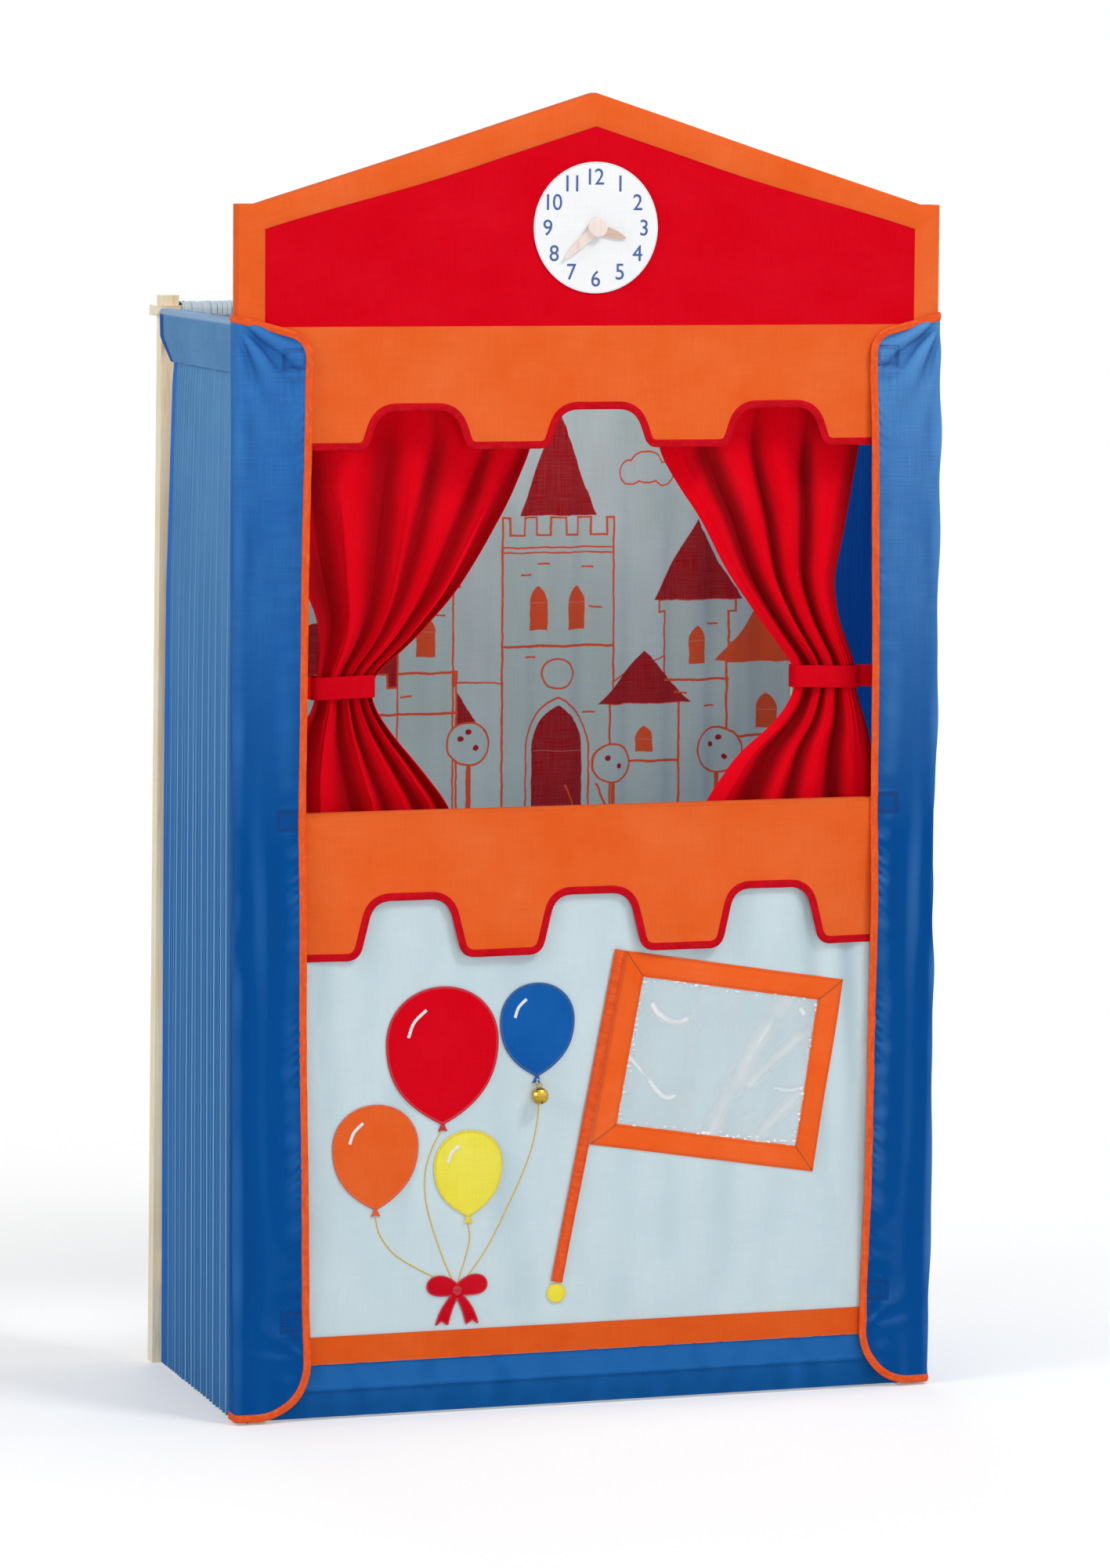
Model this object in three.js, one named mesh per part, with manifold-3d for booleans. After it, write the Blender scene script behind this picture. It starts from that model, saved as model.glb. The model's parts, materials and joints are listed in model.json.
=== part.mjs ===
// A free-standing puppet theatre: a knock-down wooden frame of posts and slats, dressed in cloth.
// Lengths are millimetres. The audience looks along +Y, +X is to its right and the floor is Z = 0.
// The outer face of the flat front cloth is Y = 0 until the whole theatre is centred at the end.

import * as THREE from 'three';
import { mergeVertices } from 'three/addons/utils/BufferGeometryUtils.js';
import Module from 'manifold-3d';

const wasm = await Module();
wasm.setup();

// Driving dimensions of the whole theatre
const frontWidth = 800;
const peakHeight = 1426;
const gableRise = 119;
const gableSideHeight = 131;
const ledgeHeight = 658.5;
const boothDepth = 378;

// Cloth and clearances
const clothThickness = 1.2;
const seamGap = 0.3;
const woodGap = 0.4;
const edgeBinding = 5.5;
const topBindingShare = 2.2;
const bindingBulge = 0.6;
const floorClearance = 3;
const cutOverrun = 5;

// Wooden sections
const postSide = 20;
const slatThickness = 10;
const slatHeight = 36;
const postInset = 15;
const dowelRadius = 3;
const railDowelLength = 10;
const slatDowelLength = 7;
const fitGap = 0.3;

// Places that several pieces share
const shoulderHeight = peakHeight - gableRise;
const eavesHeight = shoulderHeight - gableSideHeight;
const sideClothRise = 9.5;
const sideClothTop = eavesHeight + sideClothRise;
const halfWidth = frontWidth / 2;
const postOuter = halfWidth - postInset;
const postInner = postOuter - postSide;
const postCentre = (postOuter + postInner) / 2;
const frameFront = clothThickness + woodGap;
const frameMiddle = frameFront + slatThickness;
const frameBack = frameFront + postSide;
const rearPostBack = boothDepth;
const rearPostFront = boothDepth - postSide;
const rearPostMiddle = (rearPostFront + rearPostBack) / 2;
const appliqueFront = -(clothThickness + seamGap);
const gableInset = 2.4;
const gableHalf = halfWidth - gableInset;

// Size of the theatre that the hems and the sewn-on pictures are drawn for, which they keep in proportion to
const drawnFor = { width: 800, pictureRoom: 408.5 };
const hemScale = frontWidth / drawnFor.width;

const roundSides = 16;
const dowelSides = 12;

// Shape helpers
function solid(geometry) {
  const bare = geometry.clone();
  bare.deleteAttribute('normal');
  bare.deleteAttribute('uv');
  const merged = mergeVertices(bare);
  return new wasm.Manifold(new wasm.Mesh({
    numProp: 3,
    vertProperties: Float32Array.from(merged.attributes.position.array),
    triVerts: Uint32Array.from(merged.index.array),
  }));
}

function geometryOf(manifold) {
  const mesh = manifold.getMesh();
  const geometry = new THREE.BufferGeometry();
  geometry.setAttribute('position', new THREE.BufferAttribute(mesh.vertProperties, 3));
  geometry.setIndex(new THREE.BufferAttribute(mesh.triVerts, 1));
  return geometry;
}

function cut(geometry, ...tools) {
  return geometryOf(tools.reduce((body, tool) => body.subtract(solid(tool)), solid(geometry)));
}

function join(...geometries) {
  return geometryOf(geometries.map(solid).reduce((body, other) => body.add(other)));
}

function common(geometry, other) {
  return geometryOf(solid(geometry).intersect(solid(other)));
}

function block(low, high) {
  const size = high.map((value, axis) => value - low[axis]);
  const geometry = new THREE.BoxGeometry(...size);
  return geometry.translate(...low.map((value, axis) => value + size[axis] / 2));
}

// An outline drawn in X and Z, made solid from its front towards +Y
function panel(shape, front, thickness, curveSegments = roundSides) {
  const geometry = new THREE.ExtrudeGeometry(shape, { depth: thickness, bevelEnabled: false, curveSegments });
  return geometry.rotateX(Math.PI / 2).translate(0, front + thickness, 0);
}

// An outline drawn in X and Y, made solid upwards
function column(shape, bottom, height, curveSegments = roundSides) {
  const geometry = new THREE.ExtrudeGeometry(shape, { depth: height, bevelEnabled: false, curveSegments });
  return geometry.translate(0, 0, bottom);
}

// An outline drawn in Y and Z, made solid towards +X
function sidePanel(shape, low, thickness, curveSegments = roundSides) {
  const geometry = new THREE.ExtrudeGeometry(shape, { depth: thickness, bevelEnabled: false, curveSegments });
  const turn = new THREE.Matrix4().set(0, 0, 1, low, 1, 0, 0, 0, 0, 1, 0, 0, 0, 0, 0, 1);
  return geometry.applyMatrix4(turn);
}

function rodAlongY(radius, from, to, x, z, sides = roundSides) {
  return new THREE.CylinderGeometry(radius, radius, to - from, sides).translate(x, (from + to) / 2, z);
}

function rodAlongX(radius, from, to, y, z, sides = roundSides) {
  const geometry = new THREE.CylinderGeometry(radius, radius, to - from, sides);
  return geometry.rotateZ(-Math.PI / 2).translate((from + to) / 2, y, z);
}

function polygon(points) {
  return new THREE.Shape(points.map(([x, y]) => new THREE.Vector2(x, y)));
}

function signedVolume(geometry) {
  const place = geometry.attributes.position;
  const index = geometry.index.array;
  const [a, b, c] = [new THREE.Vector3(), new THREE.Vector3(), new THREE.Vector3()];
  let sum = 0;
  for (let i = 0; i < index.length; i += 3) {
    [a, b, c].forEach((corner, k) => corner.fromBufferAttribute(place, index[i + k]));
    sum += a.dot(b.cross(c));
  }
  return sum;
}

// A sheet of cloth with folds: place(u, v) gives its middle surface and offset its half thickness
function foldedSheet(place, columnShares, rowShares, offset) {
  const wide = columnShares.length;
  const tall = rowShares.length;
  const points = [];
  for (const side of [-1, 1]) {
    for (const v of rowShares) {
      for (const u of columnShares) {
        const middle = new THREE.Vector3(...place(u, v)).addScaledVector(offset, side);
        points.push(middle.x, middle.y, middle.z);
      }
    }
  }
  const at = (side, row, col) => side * wide * tall + row * wide + col;
  const index = [];
  const quad = (a, b, c, d) => index.push(a, b, c, a, c, d);
  for (let row = 0; row + 1 < tall; row += 1) {
    for (let col = 0; col + 1 < wide; col += 1) {
      quad(at(0, row, col), at(0, row, col + 1), at(0, row + 1, col + 1), at(0, row + 1, col));
      quad(at(1, row, col), at(1, row + 1, col), at(1, row + 1, col + 1), at(1, row, col + 1));
    }
  }
  for (let row = 0; row + 1 < tall; row += 1) {
    quad(at(0, row, 0), at(0, row + 1, 0), at(1, row + 1, 0), at(1, row, 0));
    quad(at(0, row, wide - 1), at(1, row, wide - 1), at(1, row + 1, wide - 1), at(0, row + 1, wide - 1));
  }
  for (let col = 0; col + 1 < wide; col += 1) {
    quad(at(0, 0, col), at(1, 0, col), at(1, 0, col + 1), at(0, 0, col + 1));
    quad(at(0, tall - 1, col), at(0, tall - 1, col + 1), at(1, tall - 1, col + 1), at(1, tall - 1, col));
  }
  const geometry = new THREE.BufferGeometry();
  geometry.setAttribute('position', new THREE.Float32BufferAttribute(points, 3));
  geometry.setIndex(index);
  if (signedVolume(geometry) < 0) {
    geometry.setIndex(index.map((_, i) => index[i - (i % 3) + ((3 - (i % 3)) % 3)]));
  }
  return geometry;
}

function evenShares(count) {
  return Array.from({ length: count + 1 }, (_, i) => i / count);
}

// Value of a table of [share along, value] pairs at a share between them
function along(table, share) {
  const next = Math.max(1, table.findIndex(([at]) => at >= share));
  const [[fromAt, from], [toAt, to]] = [table[next - 1], table[next]];
  return from + ((to - from) * (share - fromAt)) / (toAt - fromAt);
}

// Finishes, as the photographed theatre shows them
const finish = (colour, roughness, metalness = 0) => ({ color: colour, roughness, metalness });
const paleWood = finish('#e8d3a4', 0.6);
const handWood = finish('#dcc0a2', 0.55);
const steel = finish('#b9bcc0', 0.35, 1);
const brass = finish('#d8b04a', 0.25, 1);
const redCloth = finish('#d9001d', 0.9);
const orangeCloth = finish('#ea632b', 0.9);
const blueCloth = finish('#2060ab', 0.9);
const sideCloth = finish('#547fb0', 0.9);
const paleCloth = finish('#bcd2da', 0.9);
const backCloth = finish('#a3b3ba', 0.9);
const whiteCloth = finish('#eef1f4', 0.9);
const yellowCloth = finish('#ecdf3f', 0.9);
const clearSheet = finish('#dfeaf0', 0.15);
const whiteThread = finish('#e6e2d8', 0.9);

const theatre = new THREE.Group();

function add(name, geometry, look) {
  const mesh = new THREE.Mesh(geometry, new THREE.MeshStandardMaterial(look));
  mesh.name = name;
  theatre.add(mesh);
  return mesh;
}

// A left piece and its mirror image across the middle of the theatre
function addPair(name, leftGeometry, look) {
  add(`${name}_left`, leftGeometry, look);
  add(`${name}_right`, leftGeometry, look).scale.x = -1;
}

// Heights of the front slats, each named by its top
const topSlatTop = eavesHeight;
const stageRailTop = ledgeHeight - clothThickness - 2 * woodGap;
const bottomSlatTop = 61;
const bottomSlatHeight = 30;

// Side rails, between the posts
const sideRailHeight = 34;
const sideRailTop = sideClothTop - clothThickness - woodGap;
const lowSideRailTop = 126;
const sideRailInset = 1;
const railDowelDrop = 20.5;

// Rear slat, which drops over the tops of the rear posts and lies on pegs
const rearSlatWidth = 32;
const rearSlatThickness = 11.5;
const rearSlatRise = 3;
const rearSlatOverhang = 7;
const rearPostHorn = 11.5;
const rearPostSplay = 10.5;
const rearSlatTop = sideClothTop + rearSlatRise;
const rearPostTop = rearSlatTop + rearPostHorn;
const rearSlatBottom = rearSlatTop - rearSlatThickness;
const rearSlatFront = rearPostMiddle - rearSlatWidth / 2;
const pegRadius = 3;
const pegReach = 7;
const pegHeight = rearSlatBottom - fitGap - pegRadius;

// Gable: two rafters on the front posts and a king post behind them
const shoulderFlat = 24;
const roofSlope = (peakHeight - shoulderHeight) / (halfWidth - shoulderFlat);
const rafterWidth = 34;
const rafterDrop = 4;
const rafterDepth = rafterWidth * Math.hypot(1, roofSlope);
const frontPostTop = shoulderHeight - 7;
const kingPostWidth = 34;
const kingPostTop = peakHeight - 14;
const ridgeDowelOffset = 9;
const slatDowelShare = 0.7;

const rafterTopAt = (x) => peakHeight - rafterDrop - Math.abs(x) * roofSlope;
const rafterBottomAt = (x) => rafterTopAt(x) - rafterDepth;
const slatEnd = halfWidth - 4;

// Places in X and Z of the dowels that stand out of the backs of the slats and rafters
const slatDowels = (top, height) => [-postCentre, postCentre].map((x) => [x, top - height * slatDowelShare]);
const kingPostDowel = [0, topSlatTop - slatHeight * slatDowelShare];
const rafterDowels = [
  [-postCentre, (rafterBottomAt(-postCentre) + frontPostTop) / 2],
  [-ridgeDowelOffset, rafterBottomAt(ridgeDowelOffset) + rafterDepth / 2],
];

function dowelsBehind(places) {
  return places.map(([x, z]) =>
    rodAlongY(dowelRadius, (frameFront + frameMiddle) / 2, frameMiddle + slatDowelLength, x, z, dowelSides));
}

function boresBehind(places) {
  const deepEnd = frameMiddle + slatDowelLength + fitGap;
  return places.map(([x, z]) =>
    rodAlongY(dowelRadius + fitGap, frameMiddle - cutOverrun, deepEnd, x, z, dowelSides));
}

const railDowelHeights = [sideRailTop, lowSideRailTop].map((top) => top - railDowelDrop);
const sideRailOuter = postOuter - sideRailInset;
const sideRailCentre = sideRailOuter - slatThickness / 2;

function frontPost() {
  const notch = (low, high) => block(
    [-postOuter - cutOverrun, -cutOverrun, low - fitGap],
    [-postInner + cutOverrun, frameMiddle + fitGap, high + fitGap]);
  const bores = railDowelHeights.map((z) =>
    rodAlongY(
      dowelRadius + fitGap, frameBack - railDowelLength - 2 * fitGap, frameBack + cutOverrun,
      -sideRailCentre, z, dowelSides));
  const slatBores = boresBehind([
    ...slatDowels(topSlatTop, slatHeight), ...slatDowels(stageRailTop, slatHeight),
    ...slatDowels(bottomSlatTop, bottomSlatHeight), ...rafterDowels,
  ]);
  return cut(
    block([-postOuter, frameFront, 0], [-postInner, frameBack, frontPostTop]),
    notch(topSlatTop - slatHeight, topSlatTop),
    notch(stageRailTop - slatHeight, stageRailTop),
    notch(bottomSlatTop - bottomSlatHeight, bottomSlatTop),
    notch(rafterBottomAt(-postOuter), frontPostTop + cutOverrun),
    ...slatBores,
    ...bores,
  );
}

// Below the slat the rear posts lean out a little towards their feet
function rearPost() {
  const bores = railDowelHeights.map((z) =>
    rodAlongY(
      dowelRadius + fitGap, rearPostFront - cutOverrun, rearPostFront + railDowelLength + 2 * fitGap,
      -sideRailCentre, z, dowelSides));
  const pegHole = rodAlongX(
    pegRadius + fitGap, -postOuter - cutOverrun, -postInner + cutOverrun, rearPostMiddle, pegHeight);
  const foot = rearPostSplay;
  const outline = polygon([
    [-postOuter - foot, 0], [-postInner - foot, 0], [-postInner, pegHeight],
    [-postInner, rearPostTop], [-postOuter, rearPostTop], [-postOuter, pegHeight],
  ]);
  return cut(
    panel(outline, rearPostFront, postSide),
    pegHole,
    ...bores,
  );
}

function frontSlat(top, height, ...moreDowels) {
  return join(
    block([-slatEnd, frameFront, top - height], [slatEnd, frameMiddle, top]),
    ...dowelsBehind([...slatDowels(top, height), ...moreDowels]),
  );
}

function rafter() {
  const [outer, inner] = [-slatEnd, -seamGap / 2];
  const outline = polygon([
    [outer, rafterBottomAt(outer)], [inner, rafterBottomAt(0)],
    [inner, rafterTopAt(0)], [outer, rafterTopAt(outer)],
  ]);
  return join(panel(outline, frameFront, slatThickness), ...dowelsBehind(rafterDowels));
}

function kingPost() {
  const back = frameMiddle + fitGap;
  return cut(
    block([-kingPostWidth / 2, back, topSlatTop - slatHeight], [kingPostWidth / 2, frameBack, kingPostTop]),
    ...boresBehind([kingPostDowel, rafterDowels[1], [-rafterDowels[1][0], rafterDowels[1][1]]]),
  );
}

function sideRail(top, height, notched) {
  const front = frameBack + fitGap;
  const back = rearPostFront - fitGap;
  const low = top - height;
  const lowEnd = rearSlatBottom - 2 * fitGap;
  const outline = notched
    ? polygon([[front, low], [back, low], [back, lowEnd], [rearSlatFront - 2 * fitGap, lowEnd],
      [rearSlatFront - 2 * fitGap, top], [front, top]])
    : polygon([[front, low], [back, low], [back, top], [front, top]]);
  const [dowelFront, dowelBack] = [front - railDowelLength, back + railDowelLength];
  const dowel = rodAlongY(dowelRadius, dowelFront, dowelBack, -sideRailCentre, top - railDowelDrop, dowelSides);
  return join(sidePanel(outline, -sideRailOuter, slatThickness), dowel);
}

function rearSlat() {
  const end = postOuter + rearSlatOverhang;
  const mortises = [-1, 1].map((side) => block(
    [side * postCentre - postSide / 2 - fitGap, rearPostFront - fitGap, rearSlatBottom - cutOverrun],
    [side * postCentre + postSide / 2 + fitGap, rearPostBack + fitGap, rearSlatTop + cutOverrun]));
  const back = rearSlatFront + rearSlatWidth;
  return cut(block([-end, rearSlatFront, rearSlatBottom], [end, back, rearSlatTop]), ...mortises);
}

function slatPeg() {
  return rodAlongX(pegRadius, -postOuter, -postInner + pegReach, rearPostMiddle, pegHeight, dowelSides);
}

addPair('front_post', frontPost(), paleWood);
addPair('rear_post', rearPost(), paleWood);
add('front_crossbar_top', frontSlat(topSlatTop, slatHeight, kingPostDowel), paleWood);
add('stage_rail', frontSlat(stageRailTop, slatHeight), paleWood);
add('front_crossbar_bottom', frontSlat(bottomSlatTop, bottomSlatHeight), paleWood);
addPair('gable_rafter', rafter(), paleWood);
add('gable_king_post', kingPost(), paleWood);
addPair('side_rail_top', sideRail(sideRailTop, sideRailHeight, true), paleWood);
addPair('side_rail_bottom', sideRail(lowSideRailTop, slatHeight, false), paleWood);
add('rear_crossbar', rearSlat(), paleWood);
addPair('slat_peg', slatPeg(), paleWood);

// Rod of the stage curtains, in open brackets on the backs of the front posts
const rodRadius = 5;
const rodDrop = 63;
const rodHeight = eavesHeight - rodDrop;
const rodSetback = 40;
const bracketLip = 14;
const bracketTop = rodHeight + bracketLip;
const bracketHeight = 30;
const bracketWall = 7;

function rodBracket() {
  const back = rodSetback + rodRadius + fitGap + bracketWall;
  const outline = new THREE.Shape();
  outline.moveTo(frameBack + fitGap, bracketTop - bracketHeight);
  outline.lineTo(back, rodHeight - rodRadius - bracketWall);
  outline.lineTo(back, bracketTop);
  outline.lineTo(rodSetback + rodRadius + fitGap, bracketTop);
  outline.lineTo(rodSetback + rodRadius + fitGap, rodHeight);
  outline.absarc(rodSetback, rodHeight, rodRadius + fitGap, 0, -Math.PI, true);
  outline.lineTo(rodSetback - rodRadius - fitGap, bracketTop);
  outline.lineTo(frameBack + fitGap, bracketTop);
  return sidePanel(outline, -postOuter, postSide, 6);
}

addPair('rod_bracket', rodBracket(), paleWood);
const rodHalfLength = postOuter - fitGap;
add('curtain_rod', rodAlongX(rodRadius, -rodHalfLength, rodHalfLength, rodSetback, rodHeight), paleWood);

// Gable cloth: an orange border sewn as a sleeve over the rafters, round a red field
const borderTop = 34;
const borderSide = 29;
const sleeveBackMore = 18;
const sleeveBack = frameBack + 2 * woodGap;
const sleeveBackEdge = 19;
const sleeveBackBottom = sideClothTop + 2 * woodGap;

// Outline of the gable, drawn in by one distance at its sides and another along its slopes
function gableOutline(sideInset, topInset, bottom) {
  const side = gableHalf - sideInset;
  const peak = peakHeight - topInset * Math.hypot(1, roofSlope);
  const slopeAt = (x) => peak - x * roofSlope;
  const corner = shoulderHeight - topInset;
  const knee = Math.min(side, (peak - corner) / roofSlope);
  const rightHalf = [[side, bottom], [side, Math.max(corner, slopeAt(side))]];
  if (knee < side) rightHalf.push([knee, corner]);
  return polygon([...rightHalf, [0, peak], ...rightHalf.reverse().map(([x, z]) => [-x, z])]);
}

function gableBorder() {
  const below = eavesHeight - cutOverrun;
  const wall = clothThickness;
  const full = panel(gableOutline(0, 0, eavesHeight), 0, sleeveBack + wall);
  const hollow = panel(gableOutline(wall, wall, below), wall, sleeveBack - wall);
  const frontWindow = panel(gableOutline(borderSide, borderTop, below), -cutOverrun, 2 * cutOverrun);
  const backInset = [borderSide, borderTop].map((width) => width + sleeveBackMore);
  const backWindow = panel(gableOutline(...backInset, below), frameMiddle, sleeveBack);
  const sideRailRoom = block(
    [-halfWidth, sleeveBackEdge, below], [halfWidth, sleeveBack + cutOverrun, sleeveBackBottom]);
  return cut(full, hollow, frontWindow, backWindow, sideRailRoom);
}

// Clock: a cloth dial on the red field, with two wooden hands on a pin
const clockRise = 106;
const clockHeight = eavesHeight + clockRise;
const dialRadius = 70;
const dialSides = 48;
const pinRadius = 2;
const handThickness = 2;
const handGap = 0.5;
const hubRadius = 10.5;
const hubThickness = 4;
const handBossRadius = 6;
const hourHandLength = 35;
const minuteHandLength = 50;
const handWidth = 9.5;
const handShoulderShare = 0.42;
const handTipWidth = 1.2;
const clockTime = { hours: 3, minutes: 38 };
const nutFlangeRadius = 9;
const nutRadius = 5;
const nutThickness = 4;

const dialFront = appliqueFront;
const hourHandBack = dialFront - handGap;
const minuteHandBack = hourHandBack - handThickness - seamGap;
const hubBack = minuteHandBack - handThickness - seamGap;
const nutFront = clothThickness + seamGap;

const pinHole = () => rodAlongY(pinRadius + fitGap, hubBack, nutFront + cutOverrun, 0, clockHeight);

function clockHand(length, back, clockDegrees) {
  const outline = new THREE.Shape();
  const shoulder = length * handShoulderShare;
  outline.absarc(0, 0, handBossRadius, Math.PI, 2 * Math.PI, false);
  outline.lineTo(handWidth / 2, shoulder);
  outline.quadraticCurveTo(handWidth / 2, (shoulder + length) / 2, handTipWidth / 2, length);
  outline.lineTo(-handTipWidth / 2, length);
  outline.quadraticCurveTo(-handWidth / 2, (shoulder + length) / 2, -handWidth / 2, shoulder);
  outline.closePath();
  const hole = new THREE.Path();
  hole.absarc(0, 0, pinRadius + fitGap, 0, 2 * Math.PI, false);
  outline.holes.push(hole);
  const hand = panel(outline, back - handThickness, handThickness, 10);
  return hand.rotateY((clockDegrees * Math.PI) / 180).translate(0, 0, clockHeight);
}

function clockPin() {
  const edge = hubThickness / 4;
  const length = nutFront + nutThickness - hubBack;
  const profile = [
    [0, 0], [hubRadius - edge, 0], [hubRadius, edge], [hubRadius, hubThickness],
    [pinRadius, hubThickness], [pinRadius, hubThickness + length], [0, hubThickness + length],
  ].map(([radius, height]) => new THREE.Vector2(radius, height));
  return new THREE.LatheGeometry(profile, roundSides).translate(0, hubBack - hubThickness, clockHeight);
}

// A flanged nut pressed on the pin behind the cloth
function clockNut() {
  return cut(
    join(
      rodAlongY(nutFlangeRadius, nutFront, nutFront + clothThickness, 0, clockHeight),
      rodAlongY(nutRadius, nutFront, nutFront + nutThickness, 0, clockHeight)),
    rodAlongY(pinRadius + fitGap / 3, 0, nutFront + nutThickness + cutOverrun, 0, clockHeight));
}

add('gable_border', gableBorder(), orangeCloth);
function gableField() {
  const outline = gableOutline(borderSide + seamGap, borderTop + seamGap, eavesHeight);
  return cut(panel(outline, 0, clothThickness), pinHole());
}

function clockDial() {
  const disc = rodAlongY(dialRadius, dialFront, dialFront + clothThickness, 0, clockHeight, dialSides);
  return cut(disc, pinHole());
}

const hourDegrees = 30 * (clockTime.hours + clockTime.minutes / 60);
const minuteDegrees = 6 * clockTime.minutes;
add('gable_field', gableField(), redCloth);
add('clock_dial', clockDial(), whiteCloth);
add('hour_hand', clockHand(hourHandLength, hourHandBack, hourDegrees), handWood);
add('minute_hand', clockHand(minuteHandLength, minuteHandBack, minuteDegrees), handWood);
add('clock_pin', clockPin(), handWood);
add('clock_nut', clockNut(), steel);

// Valances with a crenellated hem, bound in red
const notchCount = 3;
const hemBinding = 7;
const upperDrop = { low: 129.5, high: 88 };
const lowerDrop = { low: 159, high: 95 };
const hem = (top, drop, notch) => ({ low: top - drop.low, high: top - drop.high, ...notch });
const upperHem = hem(eavesHeight, upperDrop, { centre: 4.5, pitch: 204, mouth: 113, roof: 85, foot: 10 });
const lowerHem = hem(ledgeHeight, lowerDrop, { centre: 0, pitch: 206, mouth: 116, roof: 84, foot: 14 });
const notchRound = 14;
const valanceInset = 6;
const valanceHalf = halfWidth - valanceInset;
const hemCurveSteps = 5;

function hemPoints({ low, high, centre, pitch, mouth, roof, foot }) {
  const path = new THREE.Path();
  const [footX, roofX] = [mouth / 2, roof / 2];
  const side = new THREE.Vector2(roofX - footX, high - low);
  const rise = side.clone().setLength(foot);
  const fall = side.clone().setLength(notchRound);
  const footCurve = [[footX + foot, low], [footX, low], [footX + rise.x, low + rise.y]];
  const roofCurve = [[roofX - fall.x, high - fall.y], [roofX, high], [roofX - notchRound, high]];
  path.moveTo(-valanceHalf, low);
  for (let i = 0; i < notchCount; i += 1) {
    const middle = centre + (i - (notchCount - 1) / 2) * pitch;
    const place = (turn) => ([x, z]) => [(middle + turn * x) * hemScale, z];
    const leftCurves = [footCurve, roofCurve].map((curve) => curve.map(place(-1)));
    const rightCurves = [roofCurve, footCurve].map((curve) => [...curve].reverse().map(place(1)));
    for (const [start, corner, end] of [...leftCurves, ...rightCurves]) {
      path.lineTo(...start);
      path.quadraticCurveTo(...corner, ...end);
    }
  }
  path.lineTo(valanceHalf, low);
  return path.getPoints(hemCurveSteps);
}

// The same line moved to its left by a distance
function offsetLine(points, distance) {
  return points.map((point, i) => {
    const before = points[Math.max(i - 1, 0)];
    const after = points[Math.min(i + 1, points.length - 1)];
    const run = after.clone().sub(before).normalize();
    return new THREE.Vector2(point.x - run.y * distance, point.y + run.x * distance);
  });
}

function valanceLeaf(hemLine, top, front) {
  const edge = offsetLine(hemPoints(hemLine), hemBinding + seamGap);
  const outline = [...edge, new THREE.Vector2(valanceHalf, top), new THREE.Vector2(-valanceHalf, top)];
  return panel(new THREE.Shape(outline), front, clothThickness);
}

function hemBand(hemLine, front) {
  const edge = hemPoints(hemLine);
  const outline = new THREE.Shape([...edge, ...offsetLine(edge, hemBinding).reverse()]);
  return panel(outline, front, clothThickness + bindingBulge);
}

// The lower valance turns back over the stage rail and hangs down behind it
const ledgeTurnDepth = 48;
function lowerValance() {
  const inner = postInner - woodGap;
  const back = frameMiddle + woodGap;
  const top = ledgeHeight;
  return join(
    valanceLeaf(lowerHem, top, appliqueFront),
    block([-inner, appliqueFront, top - clothThickness], [inner, back + clothThickness, top]),
    block([-inner, back, top - ledgeTurnDepth], [inner, back + clothThickness, top]),
  );
}

add('upper_valance', valanceLeaf(upperHem, eavesHeight - seamGap, 0), orangeCloth);
add('upper_valance_piping', hemBand(upperHem, -bindingBulge), redCloth);
add('lower_valance', lowerValance(), orangeCloth);
add('lower_valance_piping', hemBand(lowerHem, appliqueFront - bindingBulge), redCloth);

// Lower front: a pale panel, an orange stripe and a blue base band with a fold
const panelTop = ledgeHeight - 3.5;
const stripeTop = 91;
const stripeBottom = 61;

function flatStrip(front, bottom, top) {
  return block([-valanceHalf, front, bottom], [valanceHalf, front + clothThickness, top]);
}

add('front_panel', flatStrip(0, stripeBottom + seamGap, panelTop), paleCloth);
add('front_stripe', flatStrip(appliqueFront, stripeBottom, stripeTop), orangeCloth);
add('base_band', flatStrip(0, floorClearance, stripeBottom), blueCloth);

// Wings: flaps at the front corners, bound in orange and held to the front by hook tape
const wingRise = 14;
const wingTop = eavesHeight + wingRise;
const wingTopFall = 0.26;
const wingEndReach = 84;
const wingMiddleReach = 70;
const wingReturn = frameBack;
const wingStandOff = 2 * appliqueFront;
const wingCornerRadius = 5;
const topCorner = { wide: 29, tall: 31, sweep: 75 };
const bottomCorner = { wide: 61, tall: 62 };
const hookWidth = 27;
const hookHeight = 23;
const hookThickness = 1.2;
const hookDrop = { eaves: 32.5, ledge: 6 };
const lowHookHeight = 110;
const hookHeights = [eavesHeight - hookDrop.eaves, ledgeHeight - hookDrop.ledge, lowHookHeight];

// Outline of a left wing seen from the front, drawn in along its bound edges
function wingOutline(inset) {
  const past = -halfWidth - 2 * cutOverrun;
  const inner = -halfWidth + wingEndReach;
  const cornerX = inner - topCorner.wide;
  const sweep = (topCorner.sweep * Math.PI) / 180;
  const cornerTopX = cornerX + topCorner.wide * Math.cos(sweep);
  const cornerTopZ = wingTop - (cornerTopX + halfWidth) * wingTopFall;
  const cornerZ = cornerTopZ - topCorner.tall * Math.sin(sweep);
  const footX = inner - bottomCorner.wide;
  const footZ = floorClearance + bottomCorner.tall;
  const shape = new THREE.Shape();
  shape.moveTo(past, floorClearance + inset);
  shape.lineTo(footX, floorClearance + inset);
  const [footWide, footTall] = [bottomCorner.wide - inset, bottomCorner.tall - inset];
  shape.absellipse(footX, footZ, footWide, footTall, -Math.PI / 2, 0, false);
  const belly = -halfWidth + wingMiddleReach;
  shape.quadraticCurveTo(belly - inset, (footZ + cornerZ) / 2, inner - inset, cornerZ);
  const topInset = inset * topBindingShare;
  shape.absellipse(cornerX, cornerZ, topCorner.wide - inset, topCorner.tall - topInset, 0, sweep, false);
  shape.lineTo(past, cornerTopZ - topInset + (cornerTopX - past) * wingTopFall);
  return shape;
}

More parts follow.
